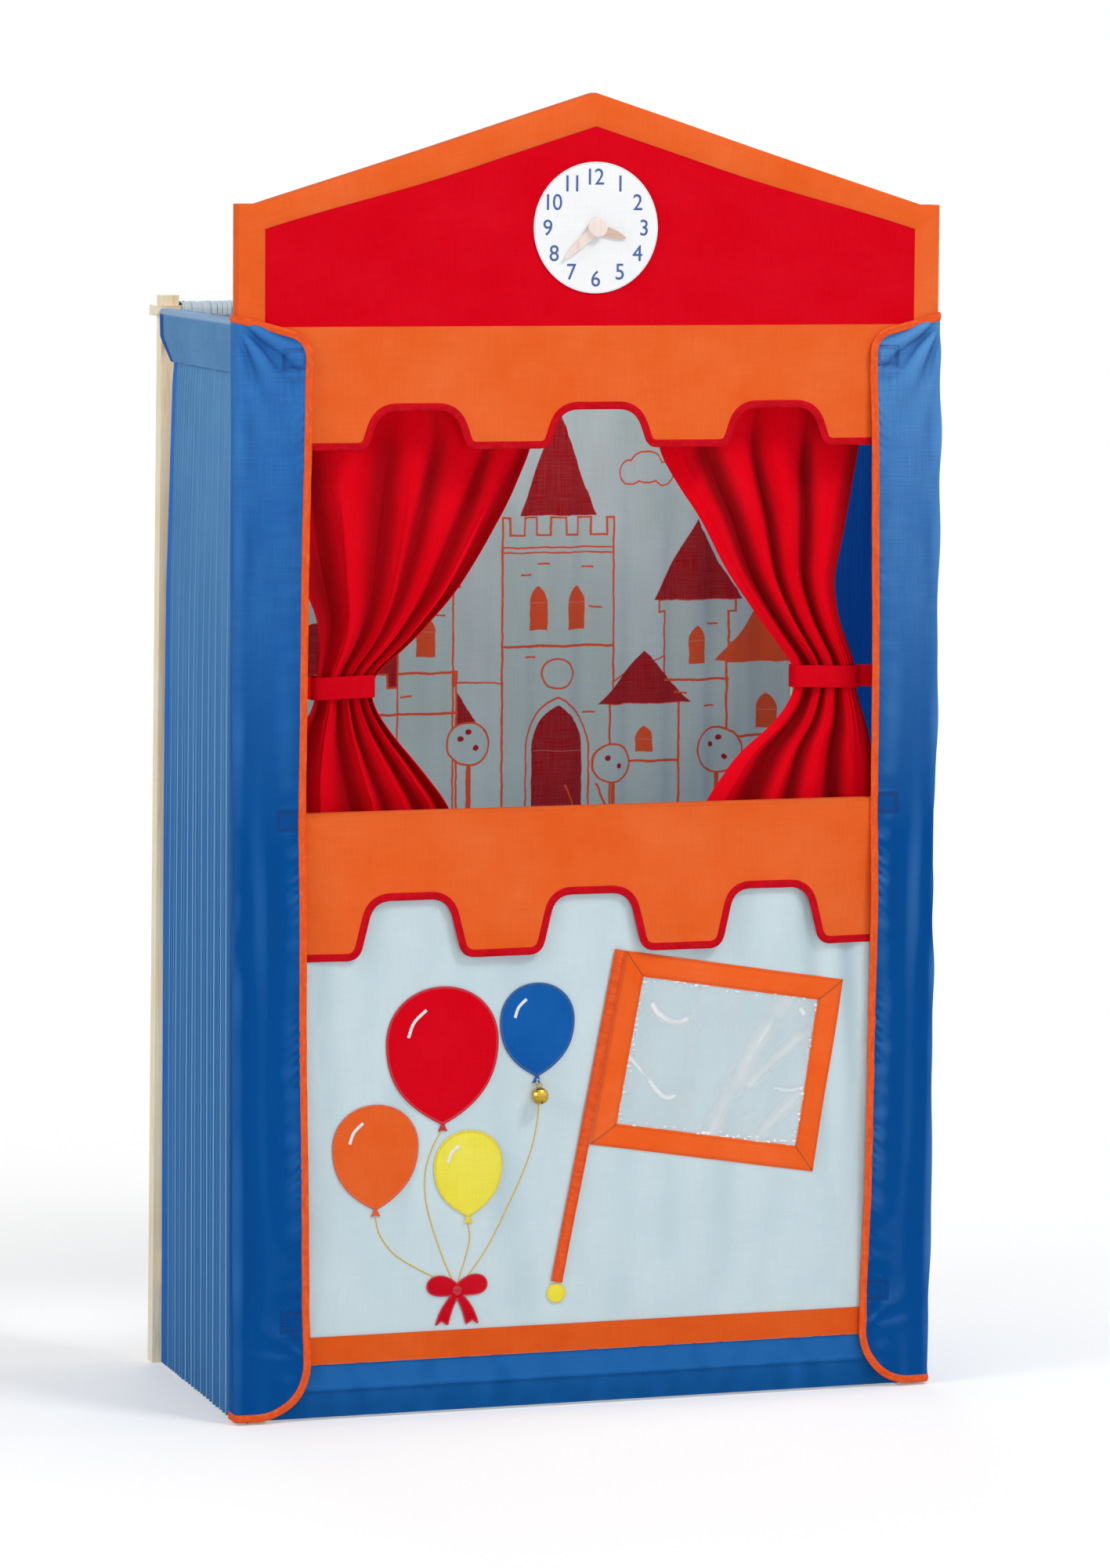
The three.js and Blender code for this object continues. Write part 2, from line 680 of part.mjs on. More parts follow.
// Plan of a cloth that turns round the front corner, with its faces moved out by a bulge
function cornerPlan(bulge) {
  const [outer, inner] = [-halfWidth - bulge, -halfWidth + clothThickness + bulge];
  const [front, back] = [wingStandOff - clothThickness - bulge, wingStandOff + bulge];
  const [outerRadius, innerRadius] = [wingCornerRadius + bulge, wingCornerRadius - clothThickness - bulge];
  const corner = [outer + outerRadius, front + outerRadius];
  const reach = -halfWidth + wingEndReach + cutOverrun;
  const plan = new THREE.Shape();
  plan.moveTo(reach, front);
  plan.lineTo(reach, back);
  plan.lineTo(corner[0], back);
  plan.absarc(corner[0], corner[1], innerRadius, -Math.PI / 2, -Math.PI, true);
  plan.lineTo(inner, wingReturn);
  plan.lineTo(outer, wingReturn);
  plan.lineTo(outer, corner[1]);
  plan.absarc(corner[0], corner[1], outerRadius, -Math.PI, -Math.PI / 2, false);
  return plan;
}

const wholeHeight = (plan) => column(plan, 0, wingTop + 2 * cutOverrun, 5);
const throughFront = (outline) => panel(outline, -4 * cutOverrun, 8 * cutOverrun + wingReturn, 8);

// A wing with the hook tape that is sewn to its back
function wing() {
  const inner = -halfWidth + wingMiddleReach - edgeBinding;
  const cloth = common(wholeHeight(cornerPlan(0)), throughFront(wingOutline(edgeBinding + seamGap)));
  const tapes = hookHeights.map((z) => block(
    [inner - hookWidth, wingStandOff - clothThickness / 2, z - hookHeight / 2],
    [inner, wingStandOff + hookThickness, z + hookHeight / 2]));
  return join(cloth, ...tapes);
}

function wingPiping() {
  const band = cut(throughFront(wingOutline(0)), throughFront(wingOutline(edgeBinding)));
  return common(wholeHeight(cornerPlan(bindingBulge)), band);
}

addPair('wing', wing(), blueCloth);
addPair('wing_piping', wingPiping(), orangeCloth);

// Side cloth: a flat yoke sewn as a sleeve over the top rail, and a pleated curtain below it
const sideFront = frameBack + seamGap;
const sideFrontOut = halfWidth - clothThickness - seamGap / 2;
const sideRearInset = 11.5;
const sideRearOut = halfWidth - sideRearInset;
const yokeHeight = 56.5;
const yokeInner = sideRailCentre - slatThickness / 2 - 2.5;
const yokeShort = { top: 7, middle: 2, bottom: 58 };
const yokeRearTop = rearPostFront - yokeShort.top;
const yokeRearMiddle = rearPostFront - yokeShort.middle;
const yokeRearBottom = rearPostFront - yokeShort.bottom;
const yokeShoulderDrop = 13;
const yokeKneeDrop = 31;
const pleatCount = 25;
const pleatDepth = 3;
const curtainShort = { top: 59, bottom: 11 };
const curtainRearTop = rearPostFront - curtainShort.top;
const curtainRearBottom = rearPostFront - curtainShort.bottom;
const flareShares = [[0, 0], [0.07, 0.2], [0.22, 0.6], [0.49, 0.81], [0.73, 0.94], [1, 1]];

const sideLean = (sideFrontOut - sideRearOut) / (rearPostFront - sideFront);
const sideLineAt = (y) => -sideFrontOut + (y - sideFront) * sideLean;

// Leans a solid in plan so that it follows the line of the side from the front corner to the rear post
function leanedIn(geometry) {
  const place = geometry.attributes.position;
  for (let i = 0; i < place.count; i += 1) {
    const [x, y] = [place.getX(i), place.getY(i)];
    const share = Math.max(0, (-yokeInner - x) / (sideFrontOut - yokeInner));
    place.setX(i, x + share * (sideLineAt(y) + sideFrontOut));
  }
  return geometry;
}

function sideYoke() {
  const low = sideClothTop - yokeHeight;
  const shoulder = sideClothTop - yokeShoulderDrop;
  const outline = polygon([
    [sideFront, low], [yokeRearBottom, low], [yokeRearMiddle - cutOverrun, sideClothTop - yokeKneeDrop],
    [yokeRearMiddle, shoulder], [yokeRearTop, shoulder + woodGap],
    [yokeRearTop, sideClothTop], [sideFront, sideClothTop],
  ]);
  const wall = clothThickness;
  const hollow = block(
    [-sideFrontOut + wall, sideFront - cutOverrun, low + wall],
    [-yokeInner - wall, boothDepth, sideClothTop - wall]);
  return leanedIn(cut(sidePanel(outline, -sideFrontOut, sideFrontOut - yokeInner), hollow));
}

function sideCurtain() {
  const top = sideClothTop - yokeHeight - seamGap;
  const pleats = evenShares(2 * pleatCount);
  const place = (u, v) => {
    const rear = curtainRearTop + (curtainRearBottom - curtainRearTop) * along(flareShares, v);
    const y = sideFront + (rear - sideFront) * u;
    const fold = Math.round(u * 2 * pleatCount) % 2 ? pleatDepth : 0;
    return [sideLineAt(y) + fold, y, top + (floorClearance - top) * v];
  };
  const rows = flareShares.map(([share]) => share);
  return foldedSheet(place, pleats, rows, new THREE.Vector3(clothThickness / 2, 0, 0));
}

addPair('side_yoke', sideYoke(), sideCloth);
addPair('side_curtain', sideCurtain(), sideCloth);

// Backdrop: a gathered cloth with a sleeve over the rear slat
const backdropInset = 7;
const backdropHalf = postInner - backdropInset;
const backdropDrop = 98.5;
const backdropHem = ledgeHeight - backdropDrop;
const backdropFolds = 14;
const backdropFoldDepth = 6;
const sleeveSlack = 0.8;
const sleeveRise = 3;

function backdrop() {
  const wall = clothThickness;
  const [front, back] = [rearSlatFront - sleeveSlack, rearSlatFront + rearSlatWidth + sleeveSlack];
  const [low, high] = [rearSlatBottom - sleeveSlack, rearSlatTop + sleeveRise];
  const sleeve = cut(
    block([-backdropHalf, front - wall, low - wall], [backdropHalf, back + wall, high + wall]),
    block([-backdropHalf - cutOverrun, front, low], [backdropHalf + cutOverrun, back, high]));
  const middle = (front + back) / 2;
  const top = low - wall / 2;
  const place = (u, v) => [
    -backdropHalf + 2 * backdropHalf * u,
    middle + backdropFoldDepth * Math.sin(2 * Math.PI * backdropFolds * u),
    top + (backdropHem - top) * v,
  ];
  const sheet = foldedSheet(place, evenShares(4 * backdropFolds), [0, 1], new THREE.Vector3(0, wall / 2, 0));
  return join(sleeve, sheet);
}

add('backdrop', backdrop(), backCloth);

// Stage curtains: gathered on the rod, drawn aside and held at the waist by a band
const stageCurtainDrop = 18.5;
const stageCurtainHem = ledgeHeight - stageCurtainDrop;
const stageCurtainTop = rodHeight - rodRadius - 1;
const curtainSleeveRadius = 7.2;
const tieShare = 0.679;
const tieHeight = stageCurtainTop - tieShare * (stageCurtainTop - stageCurtainHem);
const tieBandShare = 0.0535;
const tieBand = tieBandShare * (stageCurtainTop - stageCurtainHem);
const tieSlack = 3;
const tabInset = 2;
const tieCornerShare = 0.6;
const curtainFolds = 7;
const rodFoldDepth = 8;
const waistFoldDepth = 7;
const curtainThickness = 1.4;

// Each drape's edges, as pairs of a share of the drop from the rod and a share of the reach along the rod
const leftDrape = {
  outerAtRod: 0.992 * postInner,
  innerAtRod: 0.137 * postInner,
  outerShares: [
    [0, 1], [0.23, 0.96], [0.43, 0.87], [0.53, 0.817], [0.63, 0.812], [0.655, 0.823],
    [0.715, 0.823], [0.79, 0.88], [0.9, 0.94], [1, 0.97],
  ],
  innerShares: [
    [0, 0], [0.13, 0.02], [0.26, 0.105], [0.38, 0.21], [0.47, 0.3], [0.59, 0.47], [0.655, 0.605],
    [0.715, 0.605], [0.79, 0.53], [0.87, 0.425], [0.96, 0.32], [1, 0.3],
  ],
};
const rightDrape = {
  outerAtRod: 0.904 * postInner,
  innerAtRod: 0.233 * postInner,
  outerShares: [
    [0, 1], [0.14, 0.955], [0.37, 0.87], [0.45, 0.835], [0.54, 0.86], [0.655, 0.95],
    [0.715, 0.95], [0.79, 1], [0.9, 1.05], [1, 1.08],
  ],
  innerShares: [
    [0, 0], [0.14, 0], [0.22, 0.09], [0.3, 0.2], [0.42, 0.32], [0.5, 0.43], [0.59, 0.56], [0.655, 0.665],
    [0.715, 0.665], [0.79, 0.56], [0.85, 0.4], [0.96, 0.25], [1, 0.22],
  ],
};
const curtainRowShares = [0, 0.13, 0.26, 0.38, 0.47, 0.59, 0.655, 0.715, 0.79, 0.87, 1];
const waistShare = 0.655;

// Distance of an edge from the middle of the theatre, at a share of the drop
function edgeReach({ innerAtRod, outerAtRod }, table, share) {
  return innerAtRod + (outerAtRod - innerAtRod) * along(table, share);
}

function stageCurtain(drape) {
  const drop = stageCurtainTop - stageCurtainHem;
  const place = (u, v) => {
    const outer = -edgeReach(drape, drape.outerShares, v);
    const inner = -edgeReach(drape, drape.innerShares, v);
    const depth = rodFoldDepth + (waistFoldDepth - rodFoldDepth) * Math.min(1, v / waistShare);
    return [
      outer + (inner - outer) * u,
      rodSetback + depth * Math.sin(2 * Math.PI * curtainFolds * u),
      stageCurtainTop - drop * v,
    ];
  };
  const sheet = foldedSheet(
    place, evenShares(4 * curtainFolds), curtainRowShares, new THREE.Vector3(0, curtainThickness / 2, 0));
  const sleeve = cut(
    rodAlongX(curtainSleeveRadius, -drape.outerAtRod, -drape.innerAtRod, rodSetback, rodHeight),
    rodAlongX(rodRadius + 2 * fitGap, -halfWidth, 0, rodSetback, rodHeight));
  return join(sleeve, sheet);
}

// A band round the waist whose end tab lies on the inner face of the front post
function tieback(drape) {
  const left = -edgeReach(drape, drape.outerShares, waistShare) - tieSlack;
  const right = -edgeReach(drape, drape.innerShares, waistShare) + tieSlack;
  const half = waistFoldDepth + tieSlack;
  const corner = half * tieCornerShare;
  const loop = (grow) => {
    const shape = new THREE.Shape();
    const [l, r, h, c] = [left - grow, right + grow, half + grow, corner + grow];
    shape.moveTo(l + c, rodSetback - h);
    shape.lineTo(r - c, rodSetback - h);
    shape.absarc(r - c, rodSetback - h + c, c, -Math.PI / 2, 0, false);
    shape.absarc(r - c, rodSetback + h - c, c, 0, Math.PI / 2, false);
    shape.absarc(l + c, rodSetback + h - c, c, Math.PI / 2, Math.PI, false);
    shape.absarc(l + c, rodSetback - h + c, c, Math.PI, 1.5 * Math.PI, false);
    return shape;
  };
  const bottom = tieHeight - tieBand / 2;
  const band = cut(
    column(loop(clothThickness), bottom, tieBand, 4),
    column(loop(0), bottom - cutOverrun, tieBand + 2 * cutOverrun, 4));
  const post = -postInner + fitGap;
  const [tabFront, tabBack] = [frameFront + tabInset, frameBack - tabInset];
  const meet = left - clothThickness / 2;
  const strap = column(polygon([
    [post, tabFront], [post + clothThickness, tabFront], [post + clothThickness, tabBack - clothThickness],
    [meet, rodSetback - corner], [meet, rodSetback - corner + clothThickness], [post, tabBack],
  ]), bottom, tieBand);
  return join(band, strap);
}

add('stage_curtain_left', stageCurtain(leftDrape), redCloth);
add('stage_curtain_right', stageCurtain(rightDrape), redCloth).scale.x = -1;
add('tieback_left', tieback(leftDrape), redCloth);
add('tieback_right', tieback(rightDrape), redCloth).scale.x = -1;

// Tilted pocket on the pale panel: a mitred cloth frame round a clear sheet, beside a strip like a flagstaff
const pocketWidth = 258;
const pocketHeight = 215;
const pocketBorder = 26;
const pocketCentre = [151, 372];
const pocketTilt = 9.2;
const poleWidth = 13;
const poleTop = [34, 500];
const poleBottom = [-37, 138];
const poleEndRadius = 10;
const poleEndDrop = 12.5;
const clearSheetThickness = 0.6;

function rectangle(width, height) {
  const [right, top] = [width / 2, height / 2];
  return polygon([[-right, -top], [right, -top], [right, top], [-right, top]]);
}

function tilted(geometry) {
  return geometry.rotateY((pocketTilt * Math.PI) / 180).translate(pocketCentre[0], 0, pocketCentre[1]);
}

// A picture is drawn at its full size, then fitted between the stripe and the lower hem
const pictureScale = Math.min(hemScale, (lowerHem.low - stripeTop) / drawnFor.pictureRoom);
const fitted = (z) => stripeTop + (z - stripeTop) * pictureScale;

function addPicture(name, geometry, look) {
  add(name, geometry.scale(pictureScale, 1, pictureScale).translate(0, 0, fitted(0)), look);
}

function pocketFrame() {
  const [openWide, openTall] = [pocketWidth - 2 * pocketBorder, pocketHeight - 2 * pocketBorder];
  const frame = rectangle(pocketWidth, pocketHeight);
  frame.holes.push(rectangle(openWide, openTall));
  return tilted(panel(frame, appliqueFront, clothThickness));
}

function pocketWindow() {
  const [wide, tall] = [pocketWidth, pocketHeight].map((side) => side - 2 * pocketBorder - 2 * seamGap);
  const front = appliqueFront + clothThickness - clearSheetThickness;
  return tilted(panel(rectangle(wide, tall), front, clearSheetThickness));
}

function flagPole() {
  const [run, rise] = [poleTop[0] - poleBottom[0], poleTop[1] - poleBottom[1]];
  const strip = panel(rectangle(poleWidth, Math.hypot(run, rise)), 2 * appliqueFront, clothThickness);
  return strip.rotateY(Math.atan2(run, rise))
    .translate((poleTop[0] + poleBottom[0]) / 2, 0, (poleTop[1] + poleBottom[1]) / 2);
}

addPicture('pocket_frame', pocketFrame(), orangeCloth);
addPicture('pocket_window', pocketWindow(), clearSheet);
addPicture('flag_pole', flagPole(), orangeCloth);

function poleEnd() {
  const [x, z] = [poleBottom[0], poleBottom[1] - poleEndDrop];
  return rodAlongY(poleEndRadius, appliqueFront, appliqueFront + clothThickness, x, z);
}

addPicture('pole_end', poleEnd(), yellowCloth);

// Sewn-on balloons, and a jingle bell that hangs from the knot of the blue one
const knotWidth = 9;
const knotHeight = 8;
const balloons = {
  red: { centre: [-168, 392], half: [62, 74], look: redCloth },
  orange: { centre: [-243, 284], half: [47, 56], look: orangeCloth },
  yellow: { centre: [-138, 262], half: [38, 46], look: yellowCloth },
  blue: { centre: [-60.5, 416], half: [41, 50], look: blueCloth },
};

function balloon({ centre: [x, z], half: [wide, tall] }) {
  const outline = new THREE.Shape();
  const bottom = z - tall;
  outline.moveTo(x, bottom);
  outline.lineTo(x - knotWidth / 2, bottom - knotHeight);
  outline.lineTo(x + knotWidth / 2, bottom - knotHeight);
  outline.lineTo(x + knotWidth / 8, bottom);
  const [left, right, top, widest] = [x - wide, x + wide, z + tall, z + tall * 0.2];
  const [crown, shoulder, waist] = [wide * 0.55, z + tall * 0.68, z - tall * 0.3];
  const [chin, chinHeight] = [wide * 0.75, bottom + tall * 0.3];
  outline.bezierCurveTo(x + chin, chinHeight, right, waist, right, widest);
  outline.bezierCurveTo(right, shoulder, x + crown, top, x, top);
  outline.bezierCurveTo(x - crown, top, left, shoulder, left, widest);
  outline.bezierCurveTo(left, waist, x - chin, chinHeight, x, bottom);
  return panel(outline, appliqueFront, clothThickness, 8);
}

for (const [colour, size] of Object.entries(balloons)) {
  addPicture(`balloon_${colour}`, balloon(size), size.look);
}

// A bow where the balloons' strings meet
const bowCentre = [-150, 135];
const bowLoop = { reach: 34, rise: 15, knot: 6 };
const bowTail = { reach: 24, drop: 38, width: 9 };

function bow() {
  const outline = new THREE.Shape();
  const { reach, rise, knot } = bowLoop;
  const { reach: out, drop, width } = bowTail;
  outline.moveTo(0, knot);
  outline.bezierCurveTo(reach / 2, rise * 1.5, reach, rise, reach, rise / 3);
  outline.bezierCurveTo(reach, -rise / 2, reach / 2, -knot, knot, -knot);
  outline.quadraticCurveTo(out * 0.8, -drop / 2, out, -drop);
  outline.lineTo(out - width * 0.7, -drop + width / 2);
  outline.lineTo(out - 1.5 * width, -drop);
  outline.quadraticCurveTo(knot, -drop / 2, 0, -knot * 1.6);
  outline.quadraticCurveTo(-knot, -drop / 2, 1.5 * width - out, -drop);
  outline.lineTo(width * 0.7 - out, -drop + width / 2);
  outline.lineTo(-out, -drop);
  outline.quadraticCurveTo(-out * 0.8, -drop / 2, -knot, -knot);
  outline.bezierCurveTo(-reach / 2, -knot, -reach, -rise / 2, -reach, rise / 3);
  outline.bezierCurveTo(-reach, rise, -reach / 2, rise * 1.5, 0, knot);
  return panel(outline, appliqueFront, clothThickness, 5).translate(bowCentre[0], 0, bowCentre[1]);
}

addPicture('balloon_bow', bow(), redCloth);

const bellRadius = 9.5;
const bellWall = 0.8;
const bellSlit = 2.2;
const bellSetback = 12.5;
const bellBallRadius = 2.5;
const eyeRadius = 2.4;
const eyeWire = 0.6;
const loopBar = 1.2;
const loopWidth = 1.5;
const loopHeight = 6;
const loopEnd = 3.5;
const eyePlay = 0.5;

const blueKnot = fitted(balloons.blue.centre[1] - balloons.blue.half[1] - knotHeight);
const loopBarHeight = blueKnot - seamGap;
const bellX = pictureScale * balloons.blue.centre[0];
const eyeCentre = loopBarHeight - (eyeRadius - eyeWire - loopBar / 2 - eyePlay);
const bellHeight = eyeCentre - eyeRadius - bellRadius;

function bellShell() {
  const place = (geometry) => geometry.rotateX(Math.PI / 2).translate(bellX, -bellSetback, bellHeight);
  const outer = place(new THREE.SphereGeometry(bellRadius, 14, 9));
  const inner = place(new THREE.SphereGeometry(bellRadius - bellWall, 14, 9));
  const half = bellSlit / 2;
  const slit = (wide, deep) => block(
    [bellX - wide, -bellSetback - deep, bellHeight - bellRadius - cutOverrun],
    [bellX + wide, -bellSetback + deep, bellHeight - bellRadius * 0.35]);
  const long = bellRadius * 0.8;
  const eye = new THREE.TorusGeometry(eyeRadius, eyeWire, 6, 14).rotateX(Math.PI / 2)
    .translate(bellX, -bellSetback, eyeCentre);
  return join(cut(outer, inner, slit(long, half), slit(half, long)), eye);
}

function bellBall() {
  const rest = bellHeight - bellRadius + bellWall + bellBallRadius + seamGap;
  return new THREE.SphereGeometry(bellBallRadius, 8, 6).rotateX(Math.PI / 2)
    .translate(bellX, -bellSetback, rest);
}

function bellLoop() {
  const [front, back] = [-bellSetback - loopEnd, appliqueFront - seamGap];
  const [low, high] = [loopBarHeight - loopBar / 2, loopBarHeight - loopBar / 2 + loopHeight];
  const outline = polygon([
    [front, low], [back, low], [back, high], [front + loopBar, high], [front, high - loopBar]]);
  outline.holes.push(polygon([
    [front + loopBar, low + loopBar], [back - loopBar, low + loopBar],
    [back - loopBar, high - loopBar], [front + loopBar, high - loopBar],
  ]));
  return sidePanel(outline, bellX - loopWidth / 2, loopWidth);
}

add('bell_shell', bellShell(), brass);
add('bell_ball', bellBall(), steel);
add('bell_loop', bellLoop(), whiteThread);

// The origin is on the floor, midway between the bell in front and the backdrop behind
const foremost = -bellSetback - bellRadius;
const rearmost = rearSlatFront + rearSlatWidth + sleeveSlack + clothThickness;
theatre.position.y = -(foremost + rearmost) / 2;

export default theatre;
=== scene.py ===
"""The looks of a free-standing puppet theatre: its cloth, stitching and wood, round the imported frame."""

import json
import math

import bpy
import numpy as np
from mathutils import Matrix, Vector


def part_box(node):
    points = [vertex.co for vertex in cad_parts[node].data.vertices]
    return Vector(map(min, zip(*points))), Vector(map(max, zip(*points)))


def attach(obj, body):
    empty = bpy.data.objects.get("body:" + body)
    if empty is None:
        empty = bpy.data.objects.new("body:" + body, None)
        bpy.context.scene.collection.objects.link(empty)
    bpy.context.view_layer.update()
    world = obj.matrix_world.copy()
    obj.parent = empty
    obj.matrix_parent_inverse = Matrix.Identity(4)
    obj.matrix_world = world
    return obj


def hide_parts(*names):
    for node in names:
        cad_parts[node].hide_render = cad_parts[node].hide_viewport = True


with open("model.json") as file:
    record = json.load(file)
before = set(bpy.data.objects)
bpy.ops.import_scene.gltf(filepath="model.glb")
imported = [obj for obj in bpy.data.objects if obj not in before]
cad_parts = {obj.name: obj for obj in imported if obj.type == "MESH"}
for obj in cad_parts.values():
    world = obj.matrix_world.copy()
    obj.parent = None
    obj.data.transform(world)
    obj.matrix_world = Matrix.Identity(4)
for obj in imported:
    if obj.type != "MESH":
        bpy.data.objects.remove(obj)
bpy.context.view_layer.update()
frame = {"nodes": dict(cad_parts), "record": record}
bpy.context.scene.view_settings.view_transform = "Standard"

# Lengths in the part's own drawing are millimetres, measured from the flat front cloth, the middle and the floor
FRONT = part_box("front_panel")[0].y
CLOTH = 1.2
PEAK, SHOULDER, EAVES, LEDGE = 1426.0, 1307.0, 1176.0, 658.5
ROD_Y, ROD_Z = 40.0, 1113.0
SIDE_TOP = 1185.5
BELL_X = -60.5
BOW = (-150, 135)
BACKDROP_HEM = LEDGE - 98.5


def metres(points):
    """Points of the drawing, in millimetres, as metres in the frame."""
    return np.asarray(points, float) * 0.001 + np.array([0.0, FRONT, 0.0])


def stack(x, y, z):
    return np.stack(np.broadcast_arrays(x, y, z), axis=-1).astype(float)


def smooth(a, b, t):
    s = np.clip((np.asarray(t, float) - a) / (b - a), 0, 1)
    return s * s * (3 - 2 * s)


def between(table, share):
    """Value of a table of (share, value) pairs, run smoothly through them."""
    at, value = np.array(table, float).T
    slope = np.gradient(value, at)
    share = np.clip(np.asarray(share, float), at[0], at[-1])
    i = np.clip(np.searchsorted(at, share) - 1, 0, len(at) - 2)
    h = at[i + 1] - at[i]
    t = (share - at[i]) / h
    a, b = value[i], value[i + 1]
    return (
        a * (2 * t**3 - 3 * t**2 + 1)
        + h * slope[i] * (t**3 - 2 * t**2 + t)
        + b * (3 * t**2 - 2 * t**3)
        + h * slope[i + 1] * (t**3 - t**2)
    )


def ripple(a, b, seed, size):
    """A soft seeded unevenness over a surface, about -1 to 1, with bumps of about that size."""
    rng = np.random.default_rng(seed)
    total = np.zeros(np.broadcast(a, b).shape)
    for _ in range(9):
        angle, phase = rng.uniform(0, 2 * math.pi, 2)
        wave = rng.uniform(0.7, 1.5) * 2 * math.pi / size
        total = total + np.sin((a * math.cos(angle) + b * math.sin(angle)) * wave + phase)
    return total / 4.0


# Making meshes


def deselect():
    if bpy.context.object and bpy.context.object.mode != "OBJECT":
        bpy.ops.object.mode_set(mode="OBJECT")
    bpy.ops.object.select_all(action="DESELECT")


def pick(piece):
    deselect()
    piece.select_set(True)
    bpy.context.view_layer.objects.active = piece


def added(name, data):
    """A new object of the scene with that data."""
    thing = bpy.data.objects.new(name, data)
    bpy.context.scene.collection.objects.link(thing)
    return thing


def points_of(piece):
    """A piece's points as they are kept, in metres."""
    return np.array([v.co[:] for v in piece.data.vertices])


def corners_of(mesh):
    """Which point each face corner of a mesh stands on."""
    corner = np.zeros(len(mesh.loops), int)
    mesh.loops.foreach_get("vertex_index", corner)
    return corner


def facing_out(piece, merged=0, slivers=0):
    """Merges doubled points and dissolves slivers up to a size, and turns a piece's faces outwards."""
    pick(piece)
    bpy.ops.object.mode_set(mode="EDIT")
    bpy.ops.mesh.select_all(action="SELECT")
    if merged:
        bpy.ops.mesh.remove_doubles(threshold=merged)
    if slivers:
        bpy.ops.mesh.dissolve_degenerate(threshold=slivers)
    bpy.ops.mesh.normals_make_consistent(inside=False)
    bpy.ops.object.mode_set(mode="OBJECT")


def finish_with(piece, kind, **settings):
    """Puts a modifier on a piece and applies it."""
    pick(piece)
    modifier = piece.modifiers.new(kind.title(), kind)
    for name, value in settings.items():
        setattr(modifier, name, value)
    bpy.ops.object.modifier_apply(modifier=modifier.name)


def round_off(piece, angle=40):
    pick(piece)
    bpy.ops.object.shade_smooth_by_angle(angle=math.radians(angle))


def cloth_grid(name, wide, tall, place, flat, thickness=CLOTH, start=(0, 0)):
    """A woven sheet: a grid that place(u, v) lays out, given its thickness. Its UV map is in metres of flat cloth,
    counted from start; flat is that cloth's size, or gives the flat place of each u and v, in millimetres."""
    deselect()
    bpy.ops.mesh.primitive_grid_add(x_subdivisions=wide, y_subdivisions=tall, size=1)
    piece = bpy.context.object
    piece.name = piece.data.name = name
    mesh = piece.data
    share = points_of(piece)[:, :2] + 0.5
    mesh.vertices.foreach_set("co", metres(place(share[:, 0], share[:, 1])).ravel())
    lay = flat(share[:, 0], share[:, 1]) if callable(flat) else share * np.array(flat) + start
    mesh.uv_layers[0].data.foreach_set("uv", (lay[corners_of(mesh)] * 0.001).ravel())
    mesh.update()
    if thickness:
        finish_with(piece, "SOLIDIFY", thickness=thickness * 0.001, offset=0)
    round_off(piece)
    return piece


def flat_places(piece):
    """Where each point of a cloth piece lay when it was flat, in millimetres, from its UV map."""
    mesh = piece.data
    flat = np.zeros(2 * len(mesh.loops))
    mesh.uv_layers[0].data.foreach_get("uv", flat)
    places = np.zeros((len(mesh.vertices), 2))
    places[corners_of(mesh)] = flat.reshape(-1, 2) * 1000
    return places


def marked(piece, name, values):
    """Gives each point of a piece a value that its material can read."""
    values = np.clip(np.broadcast_to(values, len(piece.data.vertices)), 0, 1)
    piece.data.attributes.new(name, "FLOAT", "POINT").data.foreach_set("value", values)


def far_side(piece, axis):
    """1 on the skin of a cloth that lies further along an axis, 0 on its other skin."""
    co = points_of(piece)[:, axis]
    half = len(co) // 2
    further = (co[half:] > co[:half]).astype(float)
    return np.concatenate([1 - further, further])


def joined(name, *pieces):
    pick(pieces[0])
    for piece in pieces:
        piece.select_set(True)
    bpy.ops.object.join()
    pieces[0].name = pieces[0].data.name = name
    return pieces[0]


def sheet(piece, node, finish, flat):
    """Puts a cloth piece in the place of its node, with its finish; flat, the size it was cut to in millimetres, is
    turned into metres but not used further.
    """
    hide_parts(node)
    dressed(piece, node, finish)
    flat = [side * 0.001 for side in flat]


BODY = {n: b for b, ns in frame["record"]["behaviour"]["bodies"].items() for n in ns}
SLOT = {"orange": "orange_cloth", "red": "red_cloth", "blue": "blue_cloth", "side": "side_cloth",
        "pale": "pale_cloth", "print": "back_cloth", "white": "white_cloth", "yellow": "yellow_cloth",
        "clear": "clear_sheet", "thread": "white_thread"}


def dressed(piece, node, finish, slot=None):
    """Gives a piece its finish, and lets it move as a node does."""
    piece.data.materials.clear()
    piece.data.materials.append(finish)
    slot or SLOT[finish.name.split("_")[0]]
    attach(piece, BODY[node])


